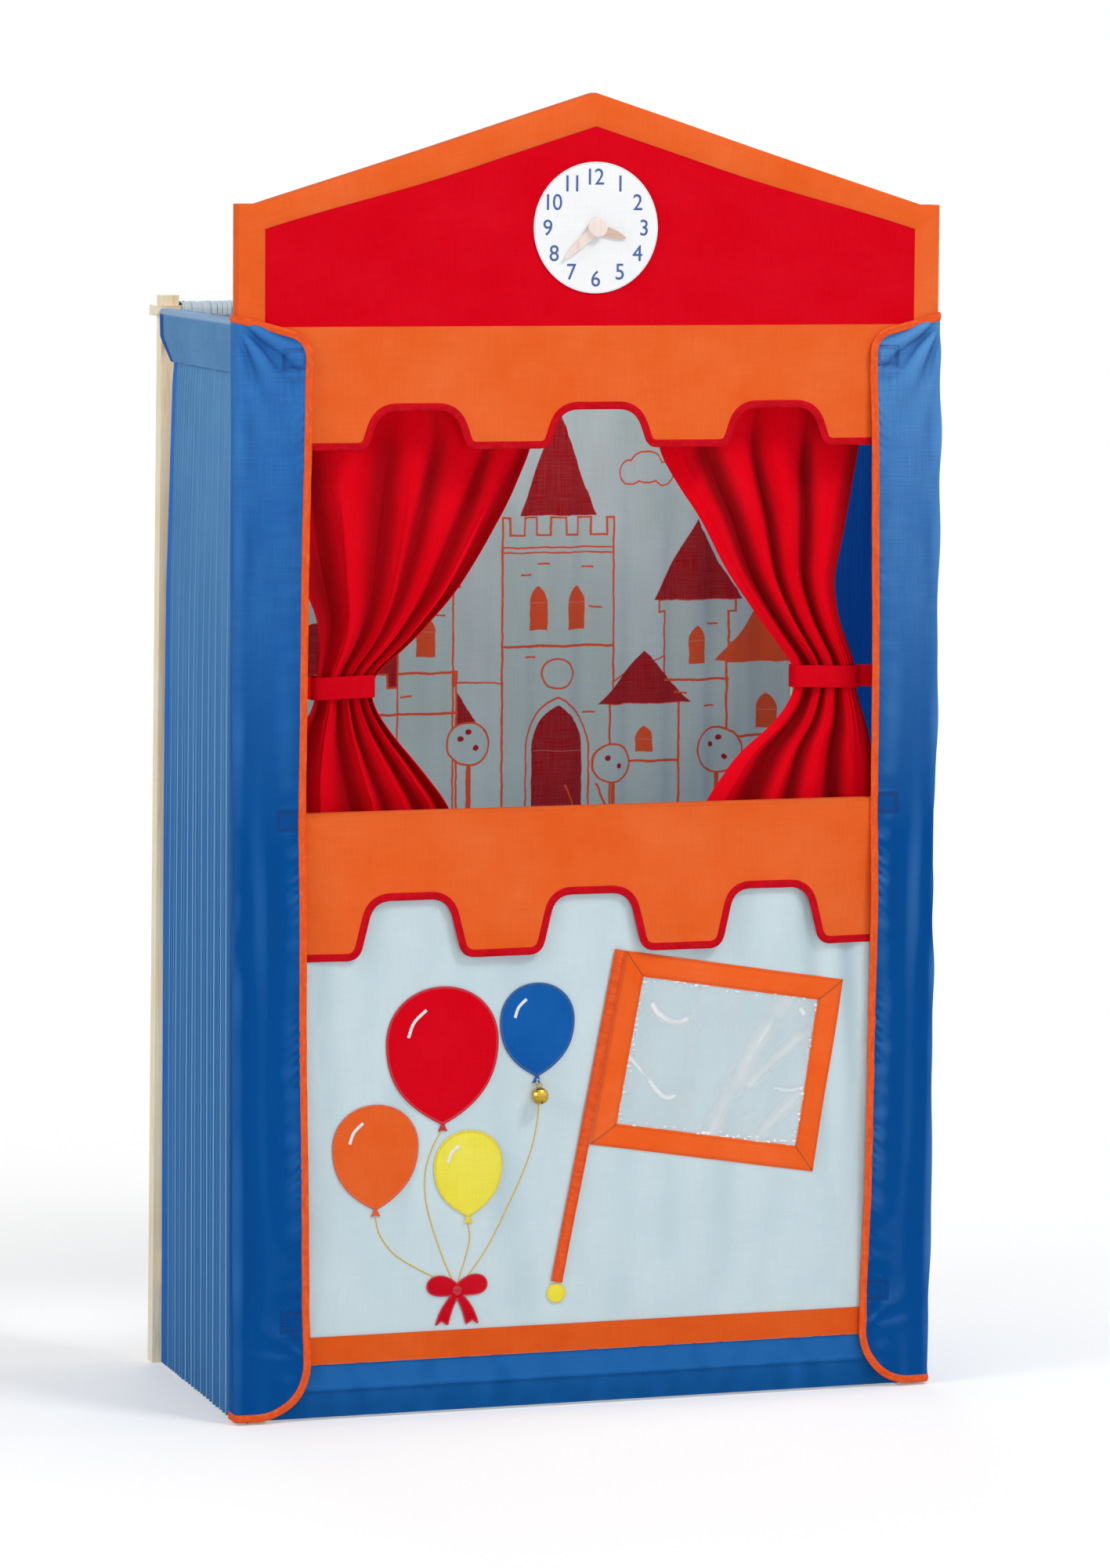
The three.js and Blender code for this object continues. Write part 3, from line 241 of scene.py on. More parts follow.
def rolled(name, path, out, profile, closed=False):
    """A band whose section, a closed line of (across, proud) pairs in millimetres, follows a path.
    out is the direction in which the band stands proud, at each point of the path or for all of it."""
    path = np.asarray(path, float)
    out = np.broadcast_to(np.asarray(out, float), path.shape)
    if closed:
        run = np.roll(path, -1, 0) - np.roll(path, 1, 0)
    else:
        run = np.gradient(path, axis=0)
    run /= np.linalg.norm(run, axis=1)[:, None]
    across = np.cross(run, out)
    across /= np.linalg.norm(across, axis=1)[:, None]
    proud = np.cross(across, run)
    section = np.asarray(profile, float)
    rings = path[:, None] + across[:, None] * section[None, :, :1] + proud[:, None] * section[None, :, 1:]
    count, sides = rings.shape[:2]
    last = count if closed else count - 1
    faces = []
    for i in range(last):
        j = (i + 1) % count
        for k in range(sides):
            m = (k + 1) % sides
            faces.append((i * sides + k, i * sides + m, j * sides + m, j * sides + k))
    if not closed:
        faces.append(tuple(range(sides))[::-1])
        faces.append(tuple((count - 1) * sides + k for k in range(sides)))
    mesh = bpy.data.meshes.new(name)
    mesh.from_pydata(metres(rings.reshape(-1, 3)).tolist(), [], faces)
    piece = added(name, mesh)
    along, girth = run_of(looped(path)) * 0.001, run_of(looped(section)) * 0.001
    uv = mesh.uv_layers.new(name="UVMap")
    at = 0
    for i in range(last):
        for k in range(sides):
            for a, g in ((along[i], girth[k]), (along[i], girth[k + 1]),
                         (along[i + 1], girth[k + 1]), (along[i + 1], girth[k])):
                uv.data[at].uv = (a, g)
                at += 1
    facing_out(piece)
    round_off(piece, 50)
    return piece


def oval(wide, tall, sides=10, power=1.0):
    """A rounded section for a binding or cord."""
    turn = np.arange(sides) * 2 * math.pi / sides
    c, s = np.cos(turn), np.sin(turn)
    return np.stack([np.sign(c) * np.abs(c) ** power * wide / 2, np.sign(s) * np.abs(s) ** power * tall / 2], 1)


def looped(line):
    """A line with its first point once more at its end."""
    return np.concatenate([line, line[:1]])


def run_of(points):
    """How far along a line each of its points lies."""
    return np.concatenate([[0], np.cumsum(np.linalg.norm(np.diff(points, axis=0), axis=1))])


def spaced_to(points, count):
    """The same line with so many points, spread evenly."""
    points = np.asarray(points, float)
    length = run_of(points)
    at = np.linspace(0, length[-1], count)
    return np.stack([np.interp(at, length, points[:, k]) for k in range(points.shape[1])], 1)


def spaced(points, step):
    """The same line with a point every step."""
    return spaced_to(points, max(2, int(round(run_of(np.asarray(points, float))[-1] / step)) + 1))


def spaced_round(line, step):
    """A line that closes on itself, with a point every step."""
    return spaced(looped(line), step)[:-1]


def counted(line, at):
    """The coordinates of a line at so many of its points from its start, fractions too."""
    line = np.asarray(line, float)
    return [np.interp(at, np.arange(len(line)), line[:, k]) for k in range(line.shape[1])]


def oval_line(centre, half, count=64):
    """A round outline about a place on the front."""
    turn = np.linspace(0, 2 * math.pi, count, endpoint=False)
    return np.stack([centre[0] + half[0] * np.cos(turn), centre[1] + half[1] * np.sin(turn)], 1)


def moved_over(points, distance):
    """A flat line moved to its left by a distance."""
    run = np.gradient(points, axis=0)
    run /= np.linalg.norm(run, axis=1)[:, None]
    return points + np.stack([-run[:, 1], run[:, 0]], 1) * distance


def stitches(name, node, path, out, finish, length=2.6, pitch=3.4, width=0.55, lift=0.15):
    """A row of thread stitches on a path, each a small rounded dash, standing proud along out."""
    deselect()
    bpy.ops.mesh.primitive_cylinder_add(vertices=6, radius=0.5, depth=1, location=(0, 0, 0))
    one = bpy.context.object
    bpy.ops.object.mode_set(mode="EDIT")
    bpy.ops.mesh.select_all(action="SELECT")
    bpy.ops.mesh.bisect(plane_co=(0, 0, 0), plane_no=(0, 0, 1))
    bpy.ops.object.mode_set(mode="OBJECT")
    shape = points_of(one)
    faces = [list(p.vertices) for p in one.data.polygons]
    bpy.data.objects.remove(one)
    ends = np.abs(shape[:, 2]) > 0.4
    shape[ends, :2] *= 0.45
    shape[ends, 1] -= 0.5
    points = spaced(path, pitch)
    out = np.broadcast_to(np.asarray(out, float), (len(path), 3))
    length_in = np.linspace(0, 1, len(path))
    outs = np.stack([np.interp(np.linspace(0, 1, len(points)), length_in, out[:, k]) for k in range(3)], 1)
    middle, ahead = (points[1:] + points[:-1]) / 2, np.diff(points, axis=0)
    ahead /= np.linalg.norm(ahead, axis=1)[:, None]
    normal = (outs[1:] + outs[:-1]) / 2
    side = np.cross(ahead, normal)
    side /= np.linalg.norm(side, axis=1)[:, None]
    normal = np.cross(side, ahead)
    vertices = (middle[:, None] + normal[:, None] * lift
                + side[:, None] * shape[None, :, :1] * width
                + normal[:, None] * shape[None, :, 1:2] * width * 0.8
                + ahead[:, None] * shape[None, :, 2:] * length)
    many = [[i * len(shape) + v for v in f] for i in range(len(middle)) for f in faces]
    mesh = bpy.data.meshes.new(name)
    mesh.from_pydata(metres(vertices.reshape(-1, 3)).tolist(), [], many)
    piece = added(name, mesh)
    round_off(piece, 60)
    dressed(piece, node, finish, "white_thread")
    return piece


# Materials


def linear(colour):
    """A colour written as hex, as the shader's linear values."""
    parts = [int(colour[i:i + 2], 16) / 255 for i in (1, 3, 5)]
    return [p / 12.92 if p <= 0.04045 else ((p + 0.055) / 1.055) ** 2.4 for p in parts] + [1.0]


class Tree:
    """Short words for building a material's nodes."""

    def __init__(self, name):
        self.material = bpy.data.materials.new(name)
        self.material.use_nodes = True
        self.nodes, self.links = self.material.node_tree.nodes, self.material.node_tree.links
        self.shader = self.nodes["Principled BSDF"]

    def join(self, value, socket):
        if isinstance(value, bpy.types.NodeSocket):
            self.links.new(value, socket)
        else:
            socket.default_value = value

    def coordinate(self, kind):
        return self.nodes.new("ShaderNodeTexCoord").outputs[kind]

    def mapped(self, vector, scale=(1, 1, 1), rotation=(0, 0, 0)):
        node = self.nodes.new("ShaderNodeMapping")
        self.links.new(vector, node.inputs["Vector"])
        node.inputs["Scale"].default_value = scale
        node.inputs["Rotation"].default_value = rotation
        return node.outputs[0]

    def attribute(self, name):
        node = self.nodes.new("ShaderNodeAttribute")
        node.attribute_name = name
        return node.outputs["Fac"]

    def noise(self, vector, scale, detail=2.0, roughness=0.5, distortion=0.0):
        node = self.nodes.new("ShaderNodeTexNoise")
        self.links.new(vector, node.inputs["Vector"])
        node.inputs["Scale"].default_value = scale
        node.inputs["Detail"].default_value = detail
        node.inputs["Roughness"].default_value = roughness
        node.inputs["Distortion"].default_value = distortion
        return node.outputs["Fac"]

    def maths(self, operation, *values):
        node = self.nodes.new("ShaderNodeMath")
        node.operation = operation
        for value, socket in zip(values, node.inputs):
            self.join(value, socket)
        return node.outputs[0]

    def range(self, value, low, high, to_low, to_high):
        node = self.nodes.new("ShaderNodeMapRange")
        self.join(value, node.inputs["Value"])
        for name, number in (("From Min", low), ("From Max", high), ("To Min", to_low), ("To Max", to_high)):
            node.inputs[name].default_value = number
        return node.outputs[0]

    def mixed(self, share, a, b):
        node = self.nodes.new("ShaderNodeMix")
        node.data_type = "RGBA"
        self.join(share, node.inputs["Factor"])
        self.join(a, node.inputs["A"])
        self.join(b, node.inputs["B"])
        return node.outputs["Result"]

    def split(self, vector):
        node = self.nodes.new("ShaderNodeSeparateXYZ")
        self.links.new(vector, node.inputs[0])
        return node.outputs[0], node.outputs[1], node.outputs[2]

    def bump(self, height, strength, distance, normal=None):
        node = self.nodes.new("ShaderNodeBump")
        node.inputs["Strength"].default_value = strength
        node.inputs["Distance"].default_value = distance
        self.links.new(height, node.inputs["Height"])
        if normal:
            self.links.new(normal, node.inputs["Normal"])
        return node.outputs[0]

    def slubs(self, place):
        """Thicker threads that run both ways."""
        return self.maths("ADD", self.noise(self.mapped(place, scale=(700, 22, 1)), 1.0, 2.0),
                          self.noise(self.mapped(place, scale=(20, 760, 1)), 1.0, 2.0))

    def blended(self, share, a, b):
        """Shader a, or b by a share."""
        node = self.nodes.new("ShaderNodeMixShader")
        for source, socket in zip((share, a, b), node.inputs):
            self.links.new(source, socket)
        return node.outputs[0]

    def glow(self, strength=1.0):
        """White light given off by a surface."""
        node = self.nodes.new("ShaderNodeEmission")
        node.inputs["Color"].default_value = (1, 1, 1, 1)
        node.inputs["Strength"].default_value = strength
        return node.outputs[0]

    def set(self, **values):
        for name, value in values.items():
            self.join(value, self.shader.inputs[name.replace("_", " ")])
        return self.material


THREADS = 1450.0
FUZZ = 0.05


def woven(name, colour, dark, light, sheen=0.02, slub=0.06, coordinate="UV", creases=0.35,
          lower=None, ridge_highlight=None, folds=None, inside=None):
    """Plain cotton: crossed threads, thicker slubs both ways, soft creases and a little uneven dye.
    lower is a deeper colour painted towards the floor as shade; the ridge colour is a paler one painted on pleat
    ridges as a highlight; the two fold colours are painted into its hollows as shade and onto its crests as light;
    inside is the colour of its hidden face."""
    t = Tree(name)
    place = t.coordinate(coordinate)
    if coordinate == "Object":
        place = t.mapped(place, rotation=(math.pi / 2, 0, 0))
    u, v, _ = t.split(place)
    warp = t.maths("SINE", t.maths("MULTIPLY", u, THREADS * math.pi))
    weft = t.maths("SINE", t.maths("MULTIPLY", v, THREADS * math.pi))
    over = t.maths("MULTIPLY", warp, weft)
    slubs = t.slubs(place)
    patchy = t.noise(place, 9.0, 3.0, 0.6)
    base = t.mixed(t.range(patchy, 0.35, 0.7, 0.0, 1.0), linear(colour), linear(light))
    base = t.mixed(t.range(slubs, 0.8, 1.3, slub * 3.0, 0.0), base, linear(dark))
    base = t.mixed(t.range(t.noise(place, 420.0, 1.0), 0.45, 0.8, 0.0, FUZZ), base, linear(light))
    # Painted shade: deeper towards the floor
    if lower:
        height = t.split(t.coordinate("Object"))[2]
        base = t.mixed(t.range(height, 1.12, 0.62, 0.0, 1.0), base, linear(lower))
    # Painted highlight along pleat ridges
    if ridge_highlight:
        base = t.mixed(t.range(t.attribute("ridge"), 0.2, 1.0, 0.0, 0.85), base, linear(ridge_highlight))
    # Painted shade in hollows and painted light on crests
    if folds:
        base = t.mixed(t.range(t.attribute("fold"), 0.5, 0.0, 0.0, 0.8), base, linear(folds[0]))
        base = t.mixed(t.range(t.attribute("fold"), 0.5, 1.0, 0.0, 0.6), base, linear(folds[1]))
    if inside:
        base = t.mixed(t.attribute("inside"), base, linear(inside))
    crease = t.noise(t.mapped(place, scale=(1.0, 0.45, 1)), 34.0, 3.0, 0.55, 0.6)
    normal = t.bump(crease, creases, 0.0035)
    normal = t.bump(slubs, 0.35, 0.00025, normal)
    normal = t.bump(over, 0.5, 0.00012, normal)
    return t.set(Base_Color=base, Roughness=t.range(slubs, 0.7, 1.3, 0.93, 0.82), Normal=normal,
                 Sheen_Weight=sheen, Sheen_Roughness=0.45, Specular_IOR_Level=0.04)


BINDING_PITCH = 1.1


def ribbed(name, colour, dark, light, shine=0.25):
    """Folded bias binding: diagonal threads and a slight shine along its roll."""
    t = Tree(name)
    place = t.coordinate("UV")
    turned = t.mapped(place, rotation=(0, 0, math.radians(42)))
    u, v, _ = t.split(turned)
    warp = t.maths("SINE", t.maths("MULTIPLY", u, 2 * math.pi * 1000 / BINDING_PITCH))
    weft = t.maths("SINE", t.maths("MULTIPLY", v, 2 * math.pi * 1000 / BINDING_PITCH))
    uneven = t.noise(t.mapped(place, scale=(60, 260, 1)), 1.0, 3.0)
    base = t.mixed(t.range(uneven, 0.35, 0.7, 0.0, 1.0), linear(dark), linear(colour))
    base = t.mixed(t.range(t.noise(place, 180.0, 2.0), 0.5, 0.75, 0.0, 0.5), base, linear(light))
    normal = t.bump(uneven, 0.4, 0.0012)
    normal = t.bump(t.maths("MULTIPLY", warp, weft), 0.4, 0.00015, normal)
    return t.set(Base_Color=base, Roughness=t.range(uneven, 0.3, 0.7, 0.8, 0.65), Normal=normal,
                 Sheen_Weight=0.02, Specular_IOR_Level=shine)


def thread(name, colour, dark):
    """Sewing thread: a tight twist with a soft shine."""
    t = Tree(name)
    place = t.coordinate("Object")
    fine = t.noise(place, 1600.0, 1.0)
    base = t.mixed(t.range(fine, 0.4, 0.65, 0.0, 1.0), linear(dark), linear(colour))
    return t.set(Base_Color=base, Roughness=0.6, Normal=t.bump(fine, 0.3, 0.0002), Sheen_Weight=0.2)


def wood(name, colour, dark, light, along):
    """Varnished pine with its grain along one axis: long soft growth lines, fine pores and paler streaks."""
    t = Tree(name)
    place = t.coordinate("Object")
    long_way = [95.0, 95.0, 95.0]
    long_way["xyz".index(along)] = 2.2
    grain = t.noise(t.mapped(place, scale=long_way), 1.0, 2.0, 0.45, 0.3)
    rings = t.maths("PINGPONG", t.maths("MULTIPLY", grain, 6.0), 0.5)
    fine_way = [1500.0, 1500.0, 1500.0]
    fine_way["xyz".index(along)] = 30.0
    pores = t.noise(t.mapped(place, scale=fine_way), 1.0, 1.0)
    patchy = t.noise(place, 11.0, 2.0)
    base = t.mixed(t.range(patchy, 0.35, 0.65, 0.0, 1.0), linear(colour), linear(light))
    base = t.mixed(t.range(rings, 0.12, 0.0, 0.0, 0.42), base, linear(dark))
    base = t.mixed(t.range(pores, 0.55, 0.75, 0.0, 0.2), base, linear(dark))
    normal = t.bump(rings, 0.1, 0.0003)
    normal = t.bump(pores, 0.25, 0.00015, normal)
    return t.set(Base_Color=base, Roughness=t.range(pores, 0.3, 0.7, 0.48, 0.6), Normal=normal,
                 Coat_Weight=0.15, Coat_Roughness=0.3)


orange = woven("orange_cotton", "#E96023", "#CC4A14", "#EE6E36")
# The pocket frame's orange is a paler copy of the orange cloth: painted light, lifting the lower front
pocket_orange_lit = woven("orange_pocket_cotton", "#F5611F", "#D84C14", "#F87036")
stripe_orange = woven("orange_stripe_cotton", "#E2561A", "#C24610", "#E86428")
red = woven("red_cotton", "#DA0016", "#AE0012", "#DE081E", sheen=0.0)
# Painted shade: the deeper colour in the curtains' hollows; painted light: the paler one on their crests, and a base
# red brighter than the other red cloth, lifted against the valance's shadow
curtain_red = woven("red_curtain_cotton", "#EC0018", "#B80010", "#F00A20", creases=0.5, sheen=0.0,
                    folds=("#6E0A0E", "#F8001C"))
# Painted shade and light on the wings: a deeper blue towards the floor, a deeper one in hollows, a paler one on
# crests. The right wing's blue is a paler copy of the left's: painted light.
blue = woven("blue_wing_cotton", "#316FB8", "#184E92", "#3E7EC2", creases=0.6, slub=0.12, lower="#034C92",
             folds=("#0E3C7E", "#3F7EC4"))
right_wing_lit_blue = woven("blue_right_wing_cotton", "#4B84C2", "#2C62A6", "#5A92CC", creases=0.6, slub=0.12,
                   lower="#034C92", folds=("#0E3C7E", "#5E98D4"))
# Painted light above the base band's fold line and painted shade below it, in its fold colours
base_blue = woven("blue_base_cotton", "#12589C", "#0A4682", "#1C60A6", creases=0.5,
                  folds=("#0C508E", "#2A70B6"))
# Painted highlight on the pleat ridges and along the yoke's turn over the rail; the pleated side also has painted
# shade towards the floor and in its pleats' hollows
side = woven("side_cotton", "#588ABA", "#42709F", "#6A9AC4", slub=0.09, creases=0.4, ridge_highlight="#9DBBDA",
             inside="#0C4AA0")
side_pleated = woven("side_pleated_cotton", "#5C90BE", "#4478AC", "#669AC6", slub=0.05, creases=0.25,
                     lower="#3C74AC", ridge_highlight="#98C0E4", inside="#0E5EC5", folds=("#265A96", "#5C90BE"))
# Painted shade where the front panel lies hollow, painted light where it stands proud
pale = woven("pale_cotton", "#CADDE3", "#B2CBD4", "#D1E2E7", slub=0.06, creases=0.6,
             folds=("#AFC4CE", "#D8E8EC"))
patch_blue = woven("blue_patch_cotton", "#0F58A6", "#0C4488", "#1A64B2")
white = woven("white_cotton", "#F4F5F6", "#DADFE4", "#FAFBFC")
yellow = woven("yellow_cotton", "#F0E23A", "#D0BC1C", "#F6EC62")
orange_binding = ribbed("orange_binding", "#F05A18", "#DE4C10", "#F27434")
red_binding = ribbed("red_binding", "#D00018", "#B80012", "#DC1226", shine=0.08)
orange_thread = thread("thread_orange", "#D9571C", "#B23E0C")
red_thread = thread("thread_red", "#B00C1E", "#860012")
blue_thread = thread("thread_blue", "#0C3470", "#082450")
pale_thread = thread("thread_pale", "#DDE6E9", "#A9BBC4")
brown_thread = thread("thread_brown", "#7A4A2C", "#54301A")
number_blue = thread("thread_number_blue", "#3F66A4", "#31528C")

# Camera at the photographed angle, a pale floor and soft studio light


def camera():
    yaw, pitch, roll = (math.radians(a) for a in (18.579, -6.089, 0.399))
    ahead = Vector((math.sin(yaw) * math.cos(pitch), math.cos(yaw) * math.cos(pitch), math.sin(pitch)))
    right = Vector((math.cos(yaw), -math.sin(yaw), 0))
    up = right.cross(ahead)
    right, up = right * math.cos(roll) + up * math.sin(roll), up * math.cos(roll) - right * math.sin(roll)
    data = bpy.data.cameras.new("camera")
    data.lens, data.sensor_width = 147.84, 36.0
    data.clip_end = 60
    thing = added("camera", data)
    turn = Matrix((right, up, -ahead)).transposed().to_4x4()
    spot = metres([-2245.4, -6556.3, 1420.9])
    thing.matrix_world = Matrix.Translation(Vector(spot)) @ turn
    bpy.context.scene.camera = thing


def lamp(name, spot, aim, size, power):
    data = bpy.data.lights.new(name, "AREA")
    data.shape, data.size, data.size_y, data.energy = "RECTANGLE", size[0], size[1], power
    thing = added(name, data)
    thing.location = spot
    thing.rotation_euler = (Vector(aim) - Vector(spot)).to_track_quat("-Z", "Y").to_euler()


def studio():
    """Even light from all sides, which the camera and glossy or clear surfaces see as plain white, and five lamps."""
    world = bpy.data.worlds.new("studio")
    bpy.context.scene.world = world
    world.use_nodes = True
    nodes, links = world.node_tree.nodes, world.node_tree.links
    light = nodes["Background"]
    light.inputs["Color"].default_value = (0.97, 0.985, 1.0, 1.0)
    light.inputs["Strength"].default_value = 0.45
    seen = nodes.new("ShaderNodeBackground")
    seen.inputs["Color"].default_value = (1, 1, 1, 1)
    seen.inputs["Strength"].default_value = 1.0
    ray = nodes.new("ShaderNodeLightPath")
    share = ray.outputs["Is Camera Ray"]
    for kind in ("Is Glossy Ray", "Is Transmission Ray"):
        either = nodes.new("ShaderNodeMath")
        either.operation = "MAXIMUM"
        links.new(share, either.inputs[0])
        links.new(ray.outputs[kind], either.inputs[1])
        share = either.outputs[0]
    mix = nodes.new("ShaderNodeMixShader")
    for source, socket in zip((share, light.outputs[0], seen.outputs[0]), mix.inputs):
        links.new(source, socket)
    links.new(mix.outputs[0], nodes["World Output"].inputs["Surface"])
    lamp("key", (1.5, -2.5, 3.9), (0, 0, 0.9), (1.1, 1.1), 66)
    lamp("front", (-0.6, -4.6, 1.1), (0, 0, 0.7), (1.2, 1.2), 30)
    lamp("fill", (-3.6, -1.1, 2.3), (0, 0, 0.8), (1.4, 2.0), 48)
    lamp("right", (3.6, 0.2, 2.2), (0, 0, 0.8), (1.6, 2.2), 30)
    lamp("back", (0.4, 3.8, 2.4), (0, 0, 0.8), (2.4, 2.0), 40)


def floor():
    """A pale floor that keeps the object's shadow and turns to plain white away from it."""
    deselect()
    bpy.ops.mesh.primitive_plane_add(size=60, location=(0, 0, 0))
    ground = bpy.context.object
    ground.name = "floor"
    t = Tree("floor_white")
    t.set(Base_Color=(0.82, 0.82, 0.82, 1), Roughness=0.9, Specular_IOR_Level=0.0)
    both = t.nodes.new("ShaderNodeAddShader")
    t.links.new(t.shader.outputs[0], both.inputs[0])
    t.links.new(t.glow(0.22), both.inputs[1])
    x, y, _ = t.split(t.coordinate("Object"))
    away = t.maths("SQRT", t.maths("ADD", t.maths("MULTIPLY", x, x), t.maths("MULTIPLY", y, y)))
    far = t.blended(t.range(away, 0.75, 1.9, 0, 1), both.outputs[0], t.glow())
    ray = t.nodes.new("ShaderNodeLightPath")
    seen = t.blended(ray.outputs["Is Camera Ray"], t.shader.outputs[0], far)
    t.links.new(seen, t.nodes["Material Output"].inputs["Surface"])
    ground.data.materials.append(t.material)


camera()
studio()
floor()

# Wood, metal and other parts that keep the frame's own shapes

pine_up = wood("pine_upright", "#F0E2BC", "#D2B684", "#F6ECD2", "z")
pine_wide = wood("pine_crosswise", "#F0E2BC", "#D2B684", "#F6ECD2", "x")
pine_deep = wood("pine_lengthwise", "#F0E2BC", "#D2B684", "#F6ECD2", "y")
beech = wood("beech_hand", "#EAD6CC", "#D2B4A6", "#F4E6E0", "z")
# The hour hand's beech is a darker copy: painted shade
shaded_beech = wood("beech_hour_hand", "#CDA998", "#B48E7C", "#DCBEB0", "x")


def metal(name, colour, dark, roughness):
    t = Tree(name)
    place = t.coordinate("Object")
    patchiness = t.noise(place, 260.0, 3.0)
    base = t.mixed(t.range(patchiness, 0.4, 0.7, 0.0, 0.6), linear(colour), linear(dark))
    fine = t.noise(t.mapped(place, scale=(1, 1, 6)), 900.0, 1.0)
    return t.set(Base_Color=base, Metallic=1.0, Normal=t.bump(fine, 0.15, 0.0001),
                 Roughness=t.range(patchiness, 0.35, 0.7, roughness, roughness + 0.15))


steel = metal("bright_steel", "#B9BCC0", "#8D9196", 0.28)
brass = metal("polished_brass", "#DCB44C", "#A87E22", 0.2)

KEPT = {
    pine_up: ["front_post_left", "front_post_right", "rear_post_left", "rear_post_right", "gable_king_post",
              "rod_bracket_left", "rod_bracket_right"],
    pine_wide: ["front_crossbar_top", "stage_rail", "front_crossbar_bottom", "gable_rafter_left",
                "gable_rafter_right", "rear_crossbar", "slat_peg_left", "slat_peg_right", "curtain_rod"],
    pine_deep: ["side_rail_top_left", "side_rail_top_right", "side_rail_bottom_left", "side_rail_bottom_right"],
    beech: ["minute_hand", "clock_pin"],
    shaded_beech: ["hour_hand"],
    steel: ["clock_nut", "bell_ball"],
    brass: ["bell_shell"],
}
for finish, names in KEPT.items():
    for name in names:
        node = frame["nodes"][name]
        node.data.materials.clear()
        node.data.materials.append(finish)

# Gable: an orange sleeve over the rafters round a red field

SLOPE = (PEAK - SHOULDER) / (400 - 24)
GABLE_HALF = 397.6


def gable_line(side_in, top_in, bottom):
    """The gable's outline from its left foot over the peak to its right foot, drawn in by two distances."""
    side_x = GABLE_HALF - side_in
    peak = PEAK - top_in * math.hypot(1, SLOPE)
    corner = SHOULDER - top_in
    knee = min(side_x - 2, (peak - corner) / SLOPE)
    left = [(-side_x, bottom), (-side_x, max(corner, peak - side_x * SLOPE)),
            (-knee, max(corner, peak - knee * SLOPE)), (0, peak)]
    out = []
    for a, b, n in zip(left, left[1:], (20, 3, 60)):
        out += [np.array(a) + (np.array(b) - np.array(a)) * i / n for i in range(n)]
    half = np.array(out)
    return np.concatenate([half, [[0, peak]], half[::-1] * [-1, 1]])


def narrowed(x):
    """How much the border's slanting part is narrower towards the eaves."""
    return 7.0 * smooth(140, 366, np.abs(x))


def gable_border():
    """Front face, fold, roof and back face of the sleeve in one strip of cloth."""
    back_foot = 1186.6
    # For each row of the cloth, how far it is drawn in at the sides and the top, its foot, its depth, its slack and
    # its place across the flat strip
    rows = [
        (29, 34, EAVES, 0.6, 0.0, 0),
        (27.5, 32.5, EAVES, -0.15, 0.0, 1.5),
        (20, 24, EAVES, -0.1, 0.3, 9),
        (10, 12, EAVES, -0.1, 0.5, 19),
        (3, 3, EAVES, 0.15, 0.2, 27),
        (1.0, 1.0, EAVES, 0.8, 0.0, 29),
        (0.6, 0.6, EAVES, 2.2, 0.0, 30.6),
        (0.6, 0.6, EAVES, 9.0, 0.0, 37.4),
        (0.6, 0.6, EAVES, 18.2, 0.0, 46.6),
        (0.6, 0.6, back_foot, 21.5, 0.0, 50),
        (1.2, 1.2, back_foot, 22.8, 0.0, 51.5),
        (3.5, 3.5, back_foot, 23.1, 0.0, 54),
        (20, 20, back_foot, 23.0, 0.3, 71),
        (47, 52, back_foot, 23.0, 0.0, 98),
    ]
    lines = np.array([gable_line(*row[:3]) for row in rows])
    depth, soft, over = np.array([row[3:] for row in rows]).T
    count = len(rows)
    along = run_of(lines[0])

    def pick_out(u, v):
        return np.rint(v * (count - 1)).astype(int), np.rint(u * (lines.shape[1] - 1)).astype(int)

    def place(u, v):
        i, j = pick_out(u, v)
        x, z = lines[i, j, 0], lines[i, j, 1]
        y = depth[i] + soft[i] * ripple(x, z, 5, 70)
        z = z - 0.8 * smooth(60, 200, np.abs(x)) * smooth(400, 200, np.abs(x)) * (z > SHOULDER - 60)
        z = z + np.where(i < 3, narrowed(x), 0) * smooth(SHOULDER - 110, SHOULDER - 40, z)
        return stack(x, y, z)

    def lay(u, v):
        i, j = pick_out(u, v)
        return np.stack([along[j], over[i]], 1)

    return cloth_grid("gable_border_cloth", lines.shape[1] - 1, count - 1, place, lay, 1.0)


sheet(gable_border(), "gable_border", orange, (1180, 130))


def gable_field():
    def place(u, v):
        x = (u - 0.5) * 2 * (GABLE_HALF - 25)
        edge = PEAK - 30 * math.hypot(1, SLOPE) - np.abs(x) * SLOPE + narrowed(x)
        z = EAVES - 2 + (edge - EAVES + 2) * v
        slack = smooth(0, 0.2, v) * smooth(1, 0.8, v) * smooth(0.5, 0.42, np.abs(u - 0.5))
        clear = smooth(60, 110, np.hypot(x, z - 1282))
        y = 1.1 + slack * (0.25 + 0.75 * clear) * (0.5 * ripple(x, z * 1.6, 11, 160) + 0.3)
        return stack(x, np.minimum(y, 1.6), z)

    return cloth_grid("gable_field_cloth", 150, 42, place, (745, 240), 1.0)


sheet(gable_field(), "gable_field", red, (750, 240))

# Valances with a notched hem, bound in red

VALANCE_HALF = 394.0
NOTCH_CORNER, LEAF_EDGE = 20, 4.0
UPPER = dict(low=EAVES - 129.5, high=EAVES - 88, centre=4.5, pitch=204, mouth=113, roof=85, foot=10)
LOWER = dict(low=LEDGE - 159, high=LEDGE - 95, centre=0, pitch=206, mouth=116, roof=84, foot=14)


def bend(a, b, c, steps=10):
    """A curve from a to c that leans towards b."""
    t = np.linspace(0, 1, steps)[:, None]
    return (1 - t) ** 2 * np.array(a) + 2 * t * (1 - t) * np.array(b) + t**2 * np.array(c)


